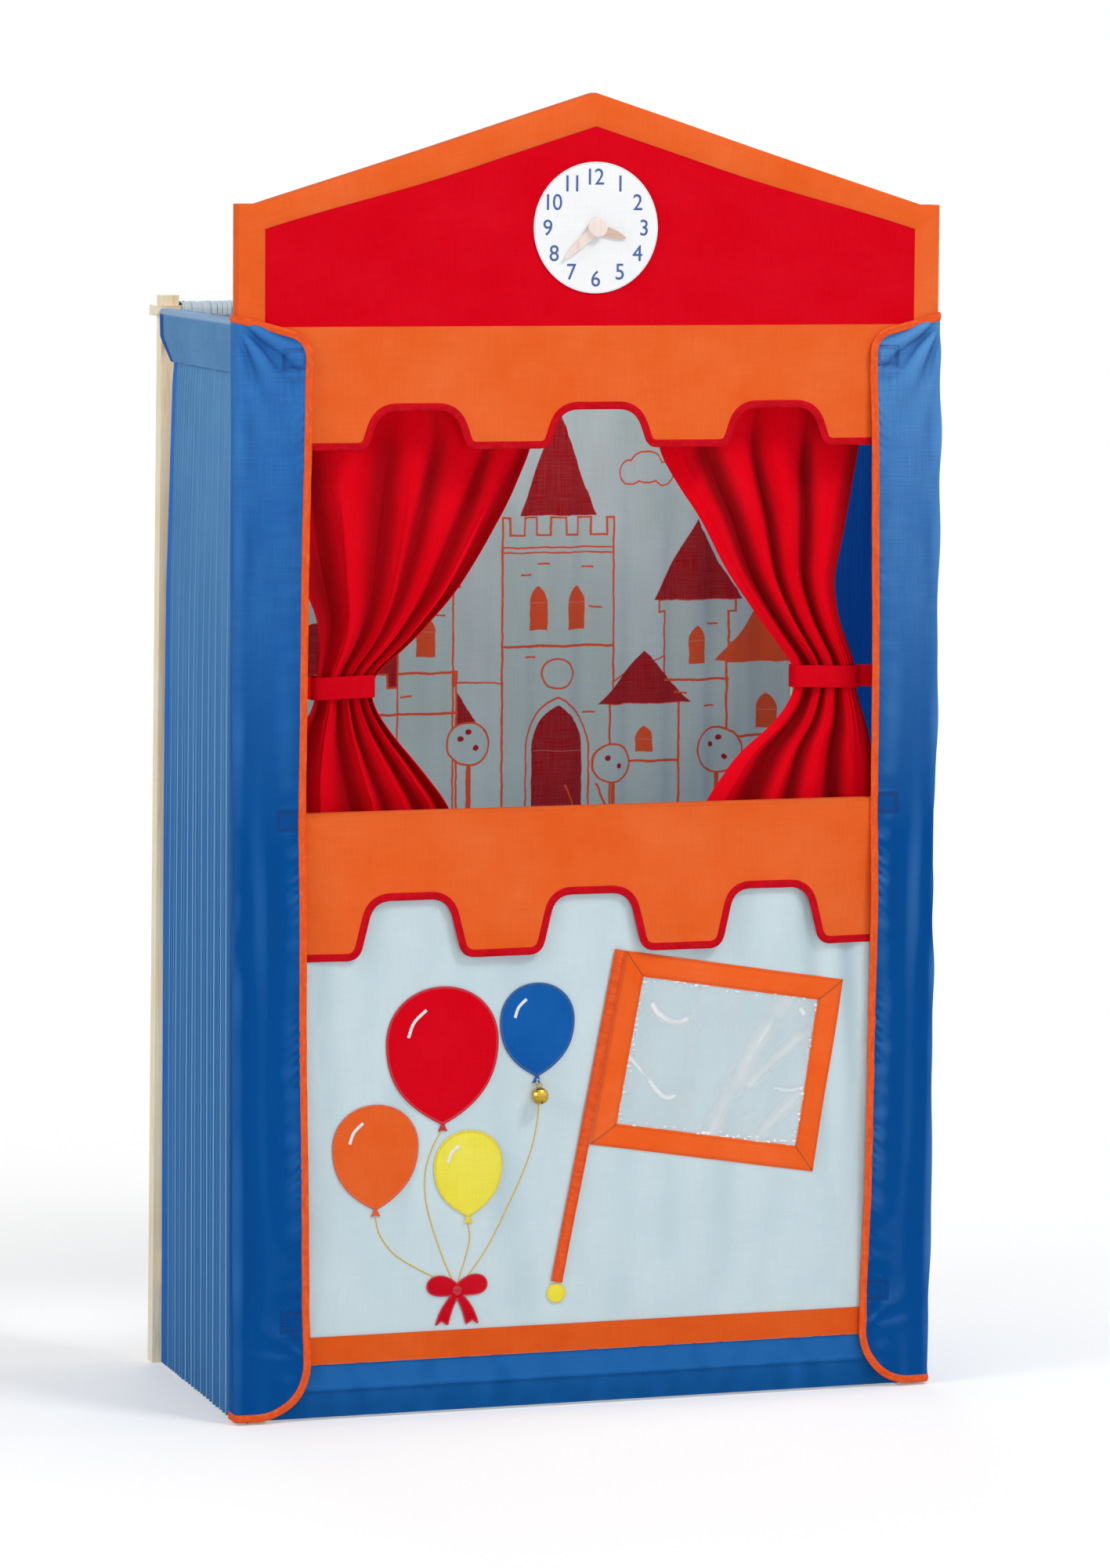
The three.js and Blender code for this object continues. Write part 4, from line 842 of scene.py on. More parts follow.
def hem_line(low, high, centre, pitch, mouth, roof, foot):
    """The hem from left to right, up and down through its three notches."""
    foot_x, roof_x = mouth / 2, roof / 2
    way = np.array([roof_x - foot_x, high - low])
    way /= np.linalg.norm(way)
    rise, fall = way * foot, way * NOTCH_CORNER
    low_turn = bend((foot_x + foot, low), (foot_x, low), (foot_x + rise[0], low + rise[1]))
    high_turn = bend((roof_x - fall[0], high - fall[1]), (roof_x, high), (roof_x - NOTCH_CORNER, high))
    right = np.concatenate([high_turn[::-1], low_turn[::-1]])
    notch = np.concatenate([(right * [-1, 1])[::-1], right])
    line = [np.array([[-VALANCE_HALF, low]])]
    line += [notch + [centre + i * pitch, 0] for i in (-1, 0, 1)]
    return np.concatenate(line + [np.array([[VALANCE_HALF, low]])])


def front_wave(x, z):
    """How far the slack lower front stands back (+) or forward (-) between its slats."""
    held = smooth(352, 300, np.abs(x)) * smooth(64, 130, z) * smooth(622, 560, z)
    middle = smooth(330, 250, np.abs(x))
    soft = 1.7 * ripple(x, 0.25 * z, 31, 150) + 0.6 * ripple(x, 0.4 * z, 32, 70)
    folds = 1.5 * (1 + np.sin(x / 7.4 + 0.01 * z)) * smooth(160, 480, z)
    folds = folds * (smooth(215, 290, x) + 0.2 * smooth(-215, -290, x))
    near_bell = np.exp(-(((x - BELL_X) / 60) ** 2) - (((z - 345) / 60) ** 2))
    near_bow = np.exp(-(((x - BOW[0]) / 60) ** 4) - (((z - 130) / 60) ** 4))
    wave = middle * np.maximum(soft, -1.0 - 0.2 * soft**2) + folds * smooth(350, 300, np.abs(x)) + 0.6 * (1 - middle)
    return held * np.maximum(wave, -1.6) * (1 - 0.7 * near_bell) * (1 - 0.9 * near_bow) * 1.25


def upper_wave(x, z):
    """The free hem of the upper valance sways a little and stands forward between the wings."""
    free = smooth(EAVES - 20, EAVES - 120, z) * smooth(325, 230, np.abs(x))
    return free * (1.6 * ripple(x, 0.4 * z, 41, 150) - 3.2)


def lower_wave(x, z):
    """The lower valance stands off the panel behind it, most of all at its hem."""
    free = smooth(LEDGE - 15, LEDGE - 150, z) * smooth(318, 235, np.abs(x))
    return np.minimum(front_wave(x, z), 0.6) - free * (7.0 + 1.5 * ripple(x, 0.3 * z, 42, 130))


def valance_leaf(name, hem, top, middle, wave, rows=26):
    line = spaced(moved_over(spaced(hem_line(**hem), 2.0), LEAF_EDGE), 3.2)

    def lay(u, v):
        x, low = counted(line, u * (len(line) - 1))
        return np.stack([x, low + (top - low) * v], 1)

    def place(u, v):
        x, z = lay(u, v).T
        return stack(x, middle + wave(x, z), z)

    return cloth_grid(name, len(line) - 1, rows, place, lay, 1.0)


def hem_binding(name, hem, middle, wave):
    line = spaced(moved_over(spaced(hem_line(**hem), 1.5), 3.5), 2.6)
    x, z = line[:, 0], line[:, 1]
    path = stack(x, middle + wave(x, z), z)
    return rolled(name, path, (0, -1, 0), oval(8.6, 2.3, 12, 0.7))


def ledge_cover():
    """The top of the lower valance, which turns over the stage rail and hangs behind it."""
    profile = np.concatenate([
        [[-0.9, LEDGE - 3.4]], bend((-0.9, LEDGE - 2.4), (-0.9, LEDGE - 0.6), (1.2, LEDGE - 0.6), 5),
        [[4, LEDGE - 0.55], [8, LEDGE - 0.55]],
        bend((10.6, LEDGE - 0.6), (12.6, LEDGE - 0.6), (12.6, LEDGE - 3), 5), [[12.6, LEDGE - 8]],
        [[12.7, LEDGE - 20], [12.9, LEDGE - 34], [12.8, LEDGE - 47.6]]])

    def place(u, v):
        x = (u - 0.5) * 2 * 364.2
        y, z = counted(profile, v * (len(profile) - 1))
        hang = smooth(LEDGE - 8, LEDGE - 48, z) * (y > 10)
        return stack(x, y + hang * 0.8 * (ripple(x, z, 8, 90) + 0.7), z)

    return cloth_grid("ledge_cover", 120, len(profile) - 1, place, (728, 66), 1.0)


upper_binding = hem_binding("upper_valance_binding", UPPER, 0.6, upper_wave)
lower_binding = hem_binding("lower_valance_binding", LOWER, -0.9, lower_wave)
for piece, node in ((upper_binding, "upper_valance_piping"), (lower_binding, "lower_valance_piping")):
    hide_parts(node)
    dressed(piece, node, red_binding)
upper = valance_leaf("upper_valance_cloth", UPPER, EAVES + 1.0, 0.6, upper_wave)
sheet(upper, "upper_valance", orange, (800, 134))
lower = joined("lower_valance_cloth", valance_leaf("lower_leaf", LOWER, LEDGE - 2.6, -0.9, lower_wave, rows=32),
               ledge_cover())
sheet(lower, "lower_valance", orange, (800, 225))

# Lower front


def front_strip(name, low, high, middle, wide, tall, puckers=0.0, fold=None):
    def place(u, v):
        x = (u - 0.5) * 2 * VALANCE_HALF
        z = low + (high - low) * v
        y = middle + front_wave(x, z)
        if puckers:
            y = y + puckers * (ripple(x, 0.35 * z, 17, 34) * (1 - 0.5 * v) + 0.3)
        if fold is not None:
            y = y - 1.3 * np.exp(-(((z - fold) / 2.4) ** 2)) - 0.7 * smooth(61, fold, z)
            y = y + 1.3 * smooth(fold, fold - 4, z)
        return stack(x, y, z)

    return cloth_grid(name, wide, tall, place, (2 * VALANCE_HALF, high - low), 1.0)


def striped(name, node, finish, low, high, middle, **more):
    piece = front_strip(name, low, high, middle, **more)
    x, z = (flat_places(piece) + (-VALANCE_HALF, low)).T
    if "fold" in more:
        # Base band: painted light above its fold line, painted shade below it towards the floor, with some random
        # tone
        tone = 0.5 * smooth(32, 36, z) - 0.35 * smooth(30, 12, z) + 0.2 * ripple(x, 0.6 * z, 18, 40)
    else:
        # Painted shade where the cloth lies further back than its neighbours, painted light where it stands forward
        tone = -0.13 * (front_wave(x, z) - (front_wave(x - 22, z) + front_wave(x + 22, z)) / 2)
    marked(piece, "fold", 0.5 + tone)
    sheet(piece, node, finish, (2 * VALANCE_HALF, high - low))


striped("front_panel_cloth", "front_panel", pale, 60.5, 655, 0.6, wide=150, tall=120)
striped("front_stripe_cloth", "front_stripe", stripe_orange, 61, 91, -0.9, wide=160, tall=8)
striped("base_band_cloth", "base_band", base_blue, 3, 62, 0.6, wide=220, tall=36, puckers=0.25, fold=33)

# Wings, which wrap the front corners and hang from a seam at the side

TURN_Y = 0.8
CORNER_X = -395.0
WING_INNER, WING_TOP, WING_FOOT = -316.0, 1190.0, 65.0
SIDE_RUN = 21.6 - TURN_Y
TURN_RADIUS = 4.4
TURN_RUN = TURN_RADIUS * math.pi / 2


def round_corner(s):
    """Plan place and outward direction at a distance s round the left corner from the side seam."""
    s = np.asarray(s, float)
    angle = np.clip((s - SIDE_RUN) / TURN_RADIUS, 0, math.pi / 2)
    nx, ny = -np.cos(angle), -np.sin(angle)
    x = CORNER_X + TURN_RADIUS * nx + np.maximum(0, s - SIDE_RUN - TURN_RUN)
    y = TURN_Y + TURN_RADIUS * ny + np.maximum(0, SIDE_RUN - s)
    return x, y, nx, ny


def run_at(x):
    """Distance round the corner of a place on the front."""
    return SIDE_RUN + TURN_RUN + (np.asarray(x, float) - CORNER_X)


def front_x(s):
    """The place across the front at a distance round the corner."""
    return CORNER_X + (s - SIDE_RUN - TURN_RUN)


def wing_edge(inset):
    """The bound edge of a left wing, from the foot of its seam round to the top of its seam, unrolled."""
    inner, fall = WING_INNER, 0.26
    sweep = math.radians(75)
    corner_x = inner - 29
    top_x = corner_x + 29 * math.cos(sweep)
    top_z = WING_TOP - (top_x + 400) * fall
    corner_z = top_z - 31 * math.sin(sweep)
    foot_x, foot_z = inner - 61, WING_FOOT
    turn = np.linspace(-math.pi / 2, 0, 16)[:, None]
    foot = np.concatenate([foot_x + (61 - inset) * np.cos(turn), foot_z + (62 - inset) * np.sin(turn)], 1)
    turn = np.linspace(0, sweep, 14)[:, None]
    top = np.concatenate([corner_x + (29 - inset) * np.cos(turn), corner_z + (31 - inset) * np.sin(turn)], 1)
    belly = bend((inner - inset, foot_z), (-330 - inset, (foot_z + corner_z) / 2), (inner - inset, corner_z), 50)
    front = np.concatenate([foot, belly[1:-1], top])
    last = [-396.0, top_z - inset + (top_x + 396) * fall]
    front = np.concatenate([front, [last]])
    line = np.stack([run_at(front[:, 0]), front[:, 1]], 1)
    seam_top = WING_TOP - inset
    return np.concatenate([[[0.0, 3.0 + inset]], line, [[SIDE_RUN * 0.8, seam_top], [0.0, seam_top]]])


def inner_edge(z):
    """Where the wing's inner edge lies across the front, which bellies outwards between its corners."""
    share = np.clip((z - WING_FOOT) / 1085, 0, 1)
    return WING_INNER - 28 * share * (1 - share)


HOOKS = [(-336.5, 1143.5), (-341.5, 652.5), (-336.5, 110.0)]
SQUARES = ((12.5, 10.5), (9.6, 7.6))


def wing_tone(s, z):
    """Shade and light painted on a wing, as a share: below a half where it lies hollow against what lies round it,
    above it where it stands proud and on its side and turn round the corner. It is also darker inside the stitched
    squares and along their stitching.
    """
    here = wing_lift(s, z)
    tone = 0.5
    for reach, weight in ((4.0, 0.3), (12.0, 0.1)):
        steps = [(reach * math.cos(a), reach * math.sin(a)) for a in np.arange(8) * math.pi / 4]
        round_it = np.mean([wing_lift(s + ds, z + dz) for ds, dz in steps], axis=0)
        tone = tone + weight * (here - round_it)
    x = front_x(s)
    for hx, hz in HOOKS:
        off = np.maximum(np.abs(x - hx) - SQUARES[0][0], np.abs(z - hz) - SQUARES[0][1])
        tone = tone - 0.14 * smooth(1.5, -1, off) - 0.2 * smooth(3.0, 0.8, np.abs(off))
    return tone + 0.1 * smooth(34, 22, s)


def wing_lift(s, z):
    """How far a wing stands out from its flat shape: held at its hook tapes, loose between them."""
    x = front_x(s)
    held = 1.0
    for hx, hz in HOOKS:
        held = held * (1 - np.exp(-(((z - hz) / 62) ** 2) - (((x - hx) / 46) ** 2)))
    lift = smooth(-398, -330, x) * held * (3.0 + 1.8 * ripple(s, 0.12 * z, 51, 75))
    lift = lift + 1.3 * smooth(0, 12, s) * ripple(s, 0.16 * z, 52, 46) * (0.3 + 0.7 * held)
    puckers = ripple(0.45 * s, z, 53, 32) * smooth(-366, -326, x) * smooth(1150, 1100, z)
    lift = lift + 0.7 * np.maximum(puckers, -0.4)
    lift = lift + np.exp(-(((s - 25) / 8) ** 2)) * (1.0 + 1.2 * ripple(0 * s, z, 54, 120)) * smooth(1175, 1140, z)
    # Creases that spread from the top of the seam
    from_x, from_z = np.maximum(x + 408, 0.5), 1192 - z
    angle, far = np.arctan2(from_z, from_x), np.hypot(from_x, from_z)
    rays = np.sin(angle * 14 + 0.4) * smooth(16, 42, far) * smooth(135, 55, far) * smooth(1.45, 1.0, angle)
    lift = lift + 3.0 * rays * smooth(0.12, 0.35, angle)
    # Short tugs along the bound edge
    from_edge = np.maximum(inner_edge(z) - x, 0)
    tugs = np.sin(2 * math.pi * (z + 0.7 * from_edge) / 11.5 + 1.5 * ripple(0 * s, z, 55, 60))
    busy = np.clip(0.35 + 0.75 * ripple(0 * s, z, 56, 150), 0, 1.1)
    lift = lift + 0.8 * tugs * busy * np.exp(-((from_edge / 12) ** 2)) * smooth(3, 7, from_edge) * smooth(70, 110, z)
    # Creases that spread from the rounded foot
    low_x, low_z = np.maximum(WING_INNER - x, 0.5), z - 66
    tug = np.sin(np.arctan2(low_z, low_x) * 11) * smooth(8, 30, np.hypot(low_x, low_z))
    lift = lift + 0.45 * tug * smooth(110, 40, np.hypot(low_x, low_z)) * smooth(0, 12, low_z)
    # Dents along the squares that are stitched round the hook tapes
    sewn = 0.0
    for hx, hz in HOOKS:
        for wide, tall in SQUARES:
            off = np.maximum(np.abs(x - hx) - wide, np.abs(z - hz) - tall)
            sewn = sewn + 0.45 * np.exp(-((off / 1.1) ** 2))
    return np.maximum(lift, -0.7) * smooth(0, 6, s) - np.minimum(sewn, 0.5)


def closer(spots, reach, share):
    """Spreads shares of a side so that more of them fall within reach of some spots."""
    at = np.linspace(0, 1, 2000)
    weight = np.full(len(at), 1.0)
    for spot in spots:
        weight = np.where(np.abs(at - spot) < reach, 1.0 + share, weight)
    total = np.concatenate([[0], np.cumsum((weight[1:] + weight[:-1]) / 2)])
    return lambda t: np.interp(t, total / total[-1], at)


def on_wing(s, z, out=0.0, mirror=False):
    x, y, nx, ny = round_corner(s)
    lift = wing_lift(s, z) + out
    x, y = x + nx * lift, y + ny * lift
    return stack(-x if mirror else x, y, z)


def wing(side_name, mirror):
    # The outline is cut into four sides, at a point of its foot's curve and one of its top's
    edge = wing_edge(3.5)
    a, b = 9, len(edge) - 11
    bottom, right, top = edge[:a + 1], edge[a:b + 1], edge[b:][::-1]
    left = np.array([edge[0], edge[-1]])
    near_foot, near_top = right[0][1], right[-1][1]
    row = closer([(hz - near_foot) / (near_top - near_foot) for _, hz in HOOKS], 0.017, 4.0)
    column = closer([0.86], 0.14, 1.0)

    def along(line, t):
        return np.stack([np.interp(t, np.linspace(0, 1, 200), column) for column in spaced_to(line, 200).T], -1)

    def lay(u, v):
        u, v = column(u), row(v)
        u_, v_ = u[:, None], v[:, None]
        return ((1 - v_) * along(bottom, u) + v_ * along(top, u) + (1 - u_) * along(left, v) + u_ * along(right, v)
                - (1 - u_) * (1 - v_) * bottom[0] - u_ * (1 - v_) * bottom[-1]
                - (1 - u_) * v_ * top[0] - u_ * v_ * top[-1])

    def place(u, v):
        return on_wing(*lay(u, v).T, mirror=mirror)

    piece = cloth_grid(f"wing_{side_name}_cloth", 60, 400, place, lay, 1.0)
    # Painted shade and light from the wing's hollows, crests and corner
    marked(piece, "fold", wing_tone(*flat_places(piece).T))
    tapes = []
    for i, (hx, hz) in enumerate(HOOKS):
        def tape_place(u, v, hx=hx, hz=hz):
            return on_wing(run_at(hx + (u - 0.5) * 25), hz + (v - 0.5) * 21, out=-1.15, mirror=mirror)
        tapes.append(cloth_grid(f"tape_{i}", 8, 8, tape_place, (25, 21), 1.1))
        marked(tapes[-1], "fold", 0.5)
    return joined(piece.name, piece, *tapes)


def outward(s, mirror):
    _, _, nx, ny = round_corner(s)
    return stack(-nx if mirror else nx, ny, np.zeros_like(nx))


def wing_binding(side_name, mirror):
    line = spaced(wing_edge(4.2), 3.6)
    return rolled(f"wing_{side_name}_binding", on_wing(line[:, 0], line[:, 1], 0.1, mirror),
                  outward(line[:, 0], mirror), oval(8.6, 2.9, 14, 0.7))


SIDES = (("left", False), ("right", True))
for side_name, mirror in SIDES:
    binding = wing_binding(side_name, mirror)
    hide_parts(f"wing_piping_{side_name}")
    dressed(binding, f"wing_piping_{side_name}", orange_binding)
    rows = []
    for i, (hx, hz) in enumerate(HOOKS):
        for ring, half in enumerate(SQUARES):
            corners = np.array([(-1, -1), (1, -1), (1, 1), (-1, 1), (-1, -1)]) * half + (hx, hz)
            path = spaced(corners, 1.4)
            s = run_at(path[:, 0])
            rows.append(stitches(f"wing_{side_name}_stitches_{i}_{ring}", f"wing_{side_name}",
                                 on_wing(s, path[:, 1], 0.5, mirror), outward(s, mirror), blue_thread, width=0.9))
    inner = spaced(wing_edge(10.0), 3.0)
    rows.append(stitches(f"wing_{side_name}_seam", f"wing_{side_name}",
                         on_wing(inner[:, 0], inner[:, 1], 0.45, mirror), outward(inner[:, 0], mirror), blue_thread,
                         length=2.4, pitch=3.6, width=0.4, lift=0.05))
    sheet(wing(side_name, mirror), f"wing_{side_name}", right_wing_lit_blue if mirror else blue, (112, 1190))

# Sides: a smooth yoke over the top rail, and a pleated curtain below it

SIDE_FRONT, SIDE_REAR_Y = 21.9, 358.0
FRONT_OUT, REAR_OUT = 398.65, 388.5
YOKE_FLAT, PLEATED_FLAT = (330, 165), (430, 1127)


def side_line(y):
    return -FRONT_OUT + (np.asarray(y, float) - SIDE_FRONT) * (FRONT_OUT - REAR_OUT) / (SIDE_REAR_Y - SIDE_FRONT)


def yoke(mirror):
    """A smooth cloth over the top rail, which ends outside above the pleats and inside behind the rail."""
    low, inner = SIDE_TOP - 56.5, -372.2
    rear = [(low, 300.0), (SIDE_TOP - 31, 350.5), (SIDE_TOP - 13, 352.5), (SIDE_TOP, 351.0)]

    def place(u, v):
        corners = np.array([0.0, 0.4, 0.43, 0.47, 0.5, 0.93, 0.96, 1.0])
        high = np.array([low, SIDE_TOP - 2.5, SIDE_TOP - 0.6, SIDE_TOP - 0.6, SIDE_TOP - 2.5,
                         low + 1.6, low + 0.6, low])
        width = np.array([0.0, 0.0, 0.07, 0.93, 1.0, 1.0, 0.6, 0.02])
        z = np.interp(v, corners, high)
        across = np.interp(v, corners, width)
        end = np.interp(z, *np.array(rear).T)
        y = SIDE_FRONT + (end - SIDE_FRONT) * u
        outer = side_line(y) + 0.6
        soft = smooth(0, 0.05, v) * smooth(0.4, 0.3, v) * smooth(0, 0.06, u) * smooth(1, 0.94, u)
        outer = outer + 0.7 * soft * (ripple(y, z * 1.4, 61, 90) + 0.5)
        x = outer + (inner - outer) * across
        sag = 0.5 * smooth(0.43, 0.47, v) * smooth(0.5, 0.47, v) * (ripple(y, z, 62, 50) - 0.6)
        return stack(-x if mirror else x, y, z + np.minimum(sag, 0))

    piece = cloth_grid("yoke", 90, 60, place, YOKE_FLAT, 1.0)
    u, v = (flat_places(piece) / YOKE_FLAT).T
    # Painted highlight along the yoke's turn over the top of the rail
    marked(piece, "ridge", smooth(0.355, 0.385, v) * smooth(0.47, 0.44, v))
    marked(piece, "inside", 0.85 * smooth(0.945, 0.96, u + 0.01 * v) * smooth(0.385, 0.37, v))
    return piece


PLEATS = 25
# How strongly a highlight is painted on each pleat's ridge
PLEAT_HIGHLIGHT = [0.3, 1.0, 0.45, 0.9, 0.25, 1.0, 0.4, 0.8, 0.3, 0.95, 0.35, 0.6, 1.0, 0.3, 0.85, 0.4, 0.7, 0.25, 0.9,
              0.5, 0.3, 0.8, 0.2, 0.6, 0.4, 0.3]
PLEAT_WIDTHS = [0.72, 0.7, 0.78, 0.74, 0.86, 0.8, 0.94, 0.9, 1.02, 0.96, 1.1, 1.0, 1.06, 1.14, 0.98, 1.12, 1.04,
                1.2, 1.06, 1.16, 1.22, 1.08, 1.2, 1.1, 1.12]


def pleat_turn(u):
    """How many pleats lie before a share u of the cloth, from its front edge: they are closer towards the rear."""
    ends = np.concatenate([[0], np.cumsum(PLEAT_WIDTHS[::-1])])
    return np.interp(u, ends / ends[-1], np.arange(PLEATS + 1))


def side_curtain(mirror):
    """The pleated side, whose rear edge spreads towards the floor and whose front edge meets the wing's seam."""
    top, foot = SIDE_TOP - 55.2, 3.0
    flare = [(0, 0), (0.07, 0.2), (0.22, 0.6), (0.49, 0.81), (0.73, 0.94), (1, 1)]

    def ridge_at(u, down):
        turn = pleat_turn(u) + 0.1 * ripple(40 * u, 2.2 * down, 71, 6) * smooth(0, 0.4, down)
        return np.abs(np.sin(math.pi * turn))

    def rear_at(down):
        return 299 + 48 * np.interp(down, *np.array(flare).T)

    def place(u, v):
        down = 1 - v
        y = SIDE_FRONT + (rear_at(down) - SIDE_FRONT) * u
        z = top + (foot - top) * down
        room = 2.6 + 2.4 * smooth(0.95, 0.5, u)
        depth = room * (0.45 + 0.55 * smooth(0, 0.35, down)) * (1 + 0.15 * ripple(60 * u, 2 * down, 72, 9))
        fold = depth * ridge_at(u, down) ** 0.8
        x = side_line(y) + 0.6 + room * 1.1 - fold
        x = x + 1.3 * smooth(0.012, 0.0, down) + 0.4 * ripple(y, 0.12 * z, 73, 120) * smooth(0, 0.2, down)
        at_wing = smooth(0.02, 0.004, u)
        x = x + (-398.4 - x) * at_wing
        z = z - 3.2 * at_wing * smooth(0.01, 0, down)
        return stack(-x if mirror else x, y, z)

    piece = cloth_grid("side_curtain", 350, 44, place, PLEATED_FLAT, 0.9)
    co = points_of(piece) * 1000
    down = (top - co[:, 2]) / (top - foot)
    u = (co[:, 1] - FRONT * 1000 - SIDE_FRONT) / (rear_at(down) - SIDE_FRONT)
    u = np.clip(u, 0, 1)
    ridge = ridge_at(u, down)
    # Painted highlight along the pleat ridges, weaker near the top and uneven from pleat to pleat
    raised = smooth(0.82, 1.0, ridge) * (0.4 + 0.6 * smooth(0.1, 0.45, down))
    raised = raised * np.array(PLEAT_HIGHLIGHT)[np.floor(pleat_turn(u)).astype(int)]
    marked(piece, "ridge", raised)
    # Painted shade in the pleats' hollows, deeper towards the rear
    marked(piece, "fold", 0.5 - 0.5 * smooth(0.55, 0.1, ridge) * (0.35 + 0.65 * smooth(0.25, 0.8, u)))
    inner = far_side(piece, 0)
    # Near its rear edge the outer face takes up to 0.6 of the inside colour: darker towards the rear edge
    hem = 0.6 * smooth(0.91, 0.96, u + 0.018 * ripple(0 * u, down, 74, 0.16))
    marked(piece, "inside", np.maximum(1 - inner if mirror else inner, hem))
    return piece


for side_name, mirror in SIDES:
    piece = yoke(mirror)
    piece.name = piece.data.name = f"side_yoke_{side_name}_cloth"
    sheet(piece, f"side_yoke_{side_name}", side, YOKE_FLAT)
    piece = side_curtain(mirror)
    piece.name = piece.data.name = f"side_curtain_{side_name}_cloth"
    sheet(piece, f"side_curtain_{side_name}", side_pleated, PLEATED_FLAT)

# Backdrop on the rear slat

PRINT_WIDE, PRINT_LONG, PRINT_SPAN = 1000, 616, 716
HEADING = 110


def backdrop():
    """The printed sheet in soft folds, with its gathered heading round the rear slat."""
    half, top, slat_y = 363.2, 1176.5, 368

    def hang(u, v):
        down = 1 - v
        x = (u - 0.5) * 2 * (half + 5.4 * down)
        z = top + (BACKDROP_HEM - top) * down
        turn = 2 * math.pi * 14 * u + 0.6 * ripple(90 * u, 1.5 * down, 81, 24)
        depth = (2.4 + 2.6 * smooth(0, 0.25, down)) * (1 + 0.3 * ripple(60 * u, down, 82, 20))
        fine = 0.8 * np.sin(2 * math.pi * 62 * u + 2 * ripple(60 * u, down, 83, 10)) * smooth(0.3, 0, down)
        return stack(x, slat_y + depth * np.sin(turn) + fine, z)

    loop = np.array([(368, 1176.2), (356, 1175.9), (351.2, 1178.5), (350.9, 1186), (352.6, 1190.2), (358, 1190.9),
                     (364.5, 1191.3), (368, 1191.5), (371.5, 1191.3), (378, 1190.9), (383.4, 1190.2), (385.1, 1186),
                     (384.8, 1178.5), (380, 1175.9), (368, 1176.2)])

    def crimped(u, v):
        """The gathers on the slat: -1 in a narrow hollow, up to 1 on a crest."""
        wave = np.abs(np.sin(math.pi * 118 * u + 3.4 * ripple(80 * u, v, 84, 7)))
        return (2 * wave**0.7 - 1) * np.clip(0.75 + 0.6 * ripple(90 * u, 0, 87, 4), 0.2, 1)

    def over(u, v):
        y, z = counted(loop, v * (len(loop) - 1))
        x = (u - 0.5) * 2 * half
        proud = 0.9 * (1 + crimped(u, v))
        side = smooth(352.8, 351.2, y) + smooth(383.2, 384.8, y)
        y = y + np.sign(y - slat_y) * proud * side
        z = z + smooth(1188, 1190.5, z) * (proud + 0.5 * ripple(x, 0 * x, 85, 18))
        return stack(x, y, z)

    hanging = cloth_grid("hang", 280, 90, hang, (PRINT_WIDE, PRINT_LONG), 0.9)
    marked(hanging, "behind", far_side(hanging, 1))
    marked(hanging, "fold", 0.5)
    begin, size = (0, PRINT_LONG + 4), (PRINT_WIDE, HEADING)
    heading = cloth_grid("over", 740, 28, over, size, 0.7, start=begin)
    u, v = ((flat_places(heading) - begin) / size).T
    # Painted shade in the hollows of the gathers, read by the print's material
    marked(heading, "fold", 0.5 + 0.5 * crimped(u, v))
    return joined("backdrop_cloth", hanging, heading)


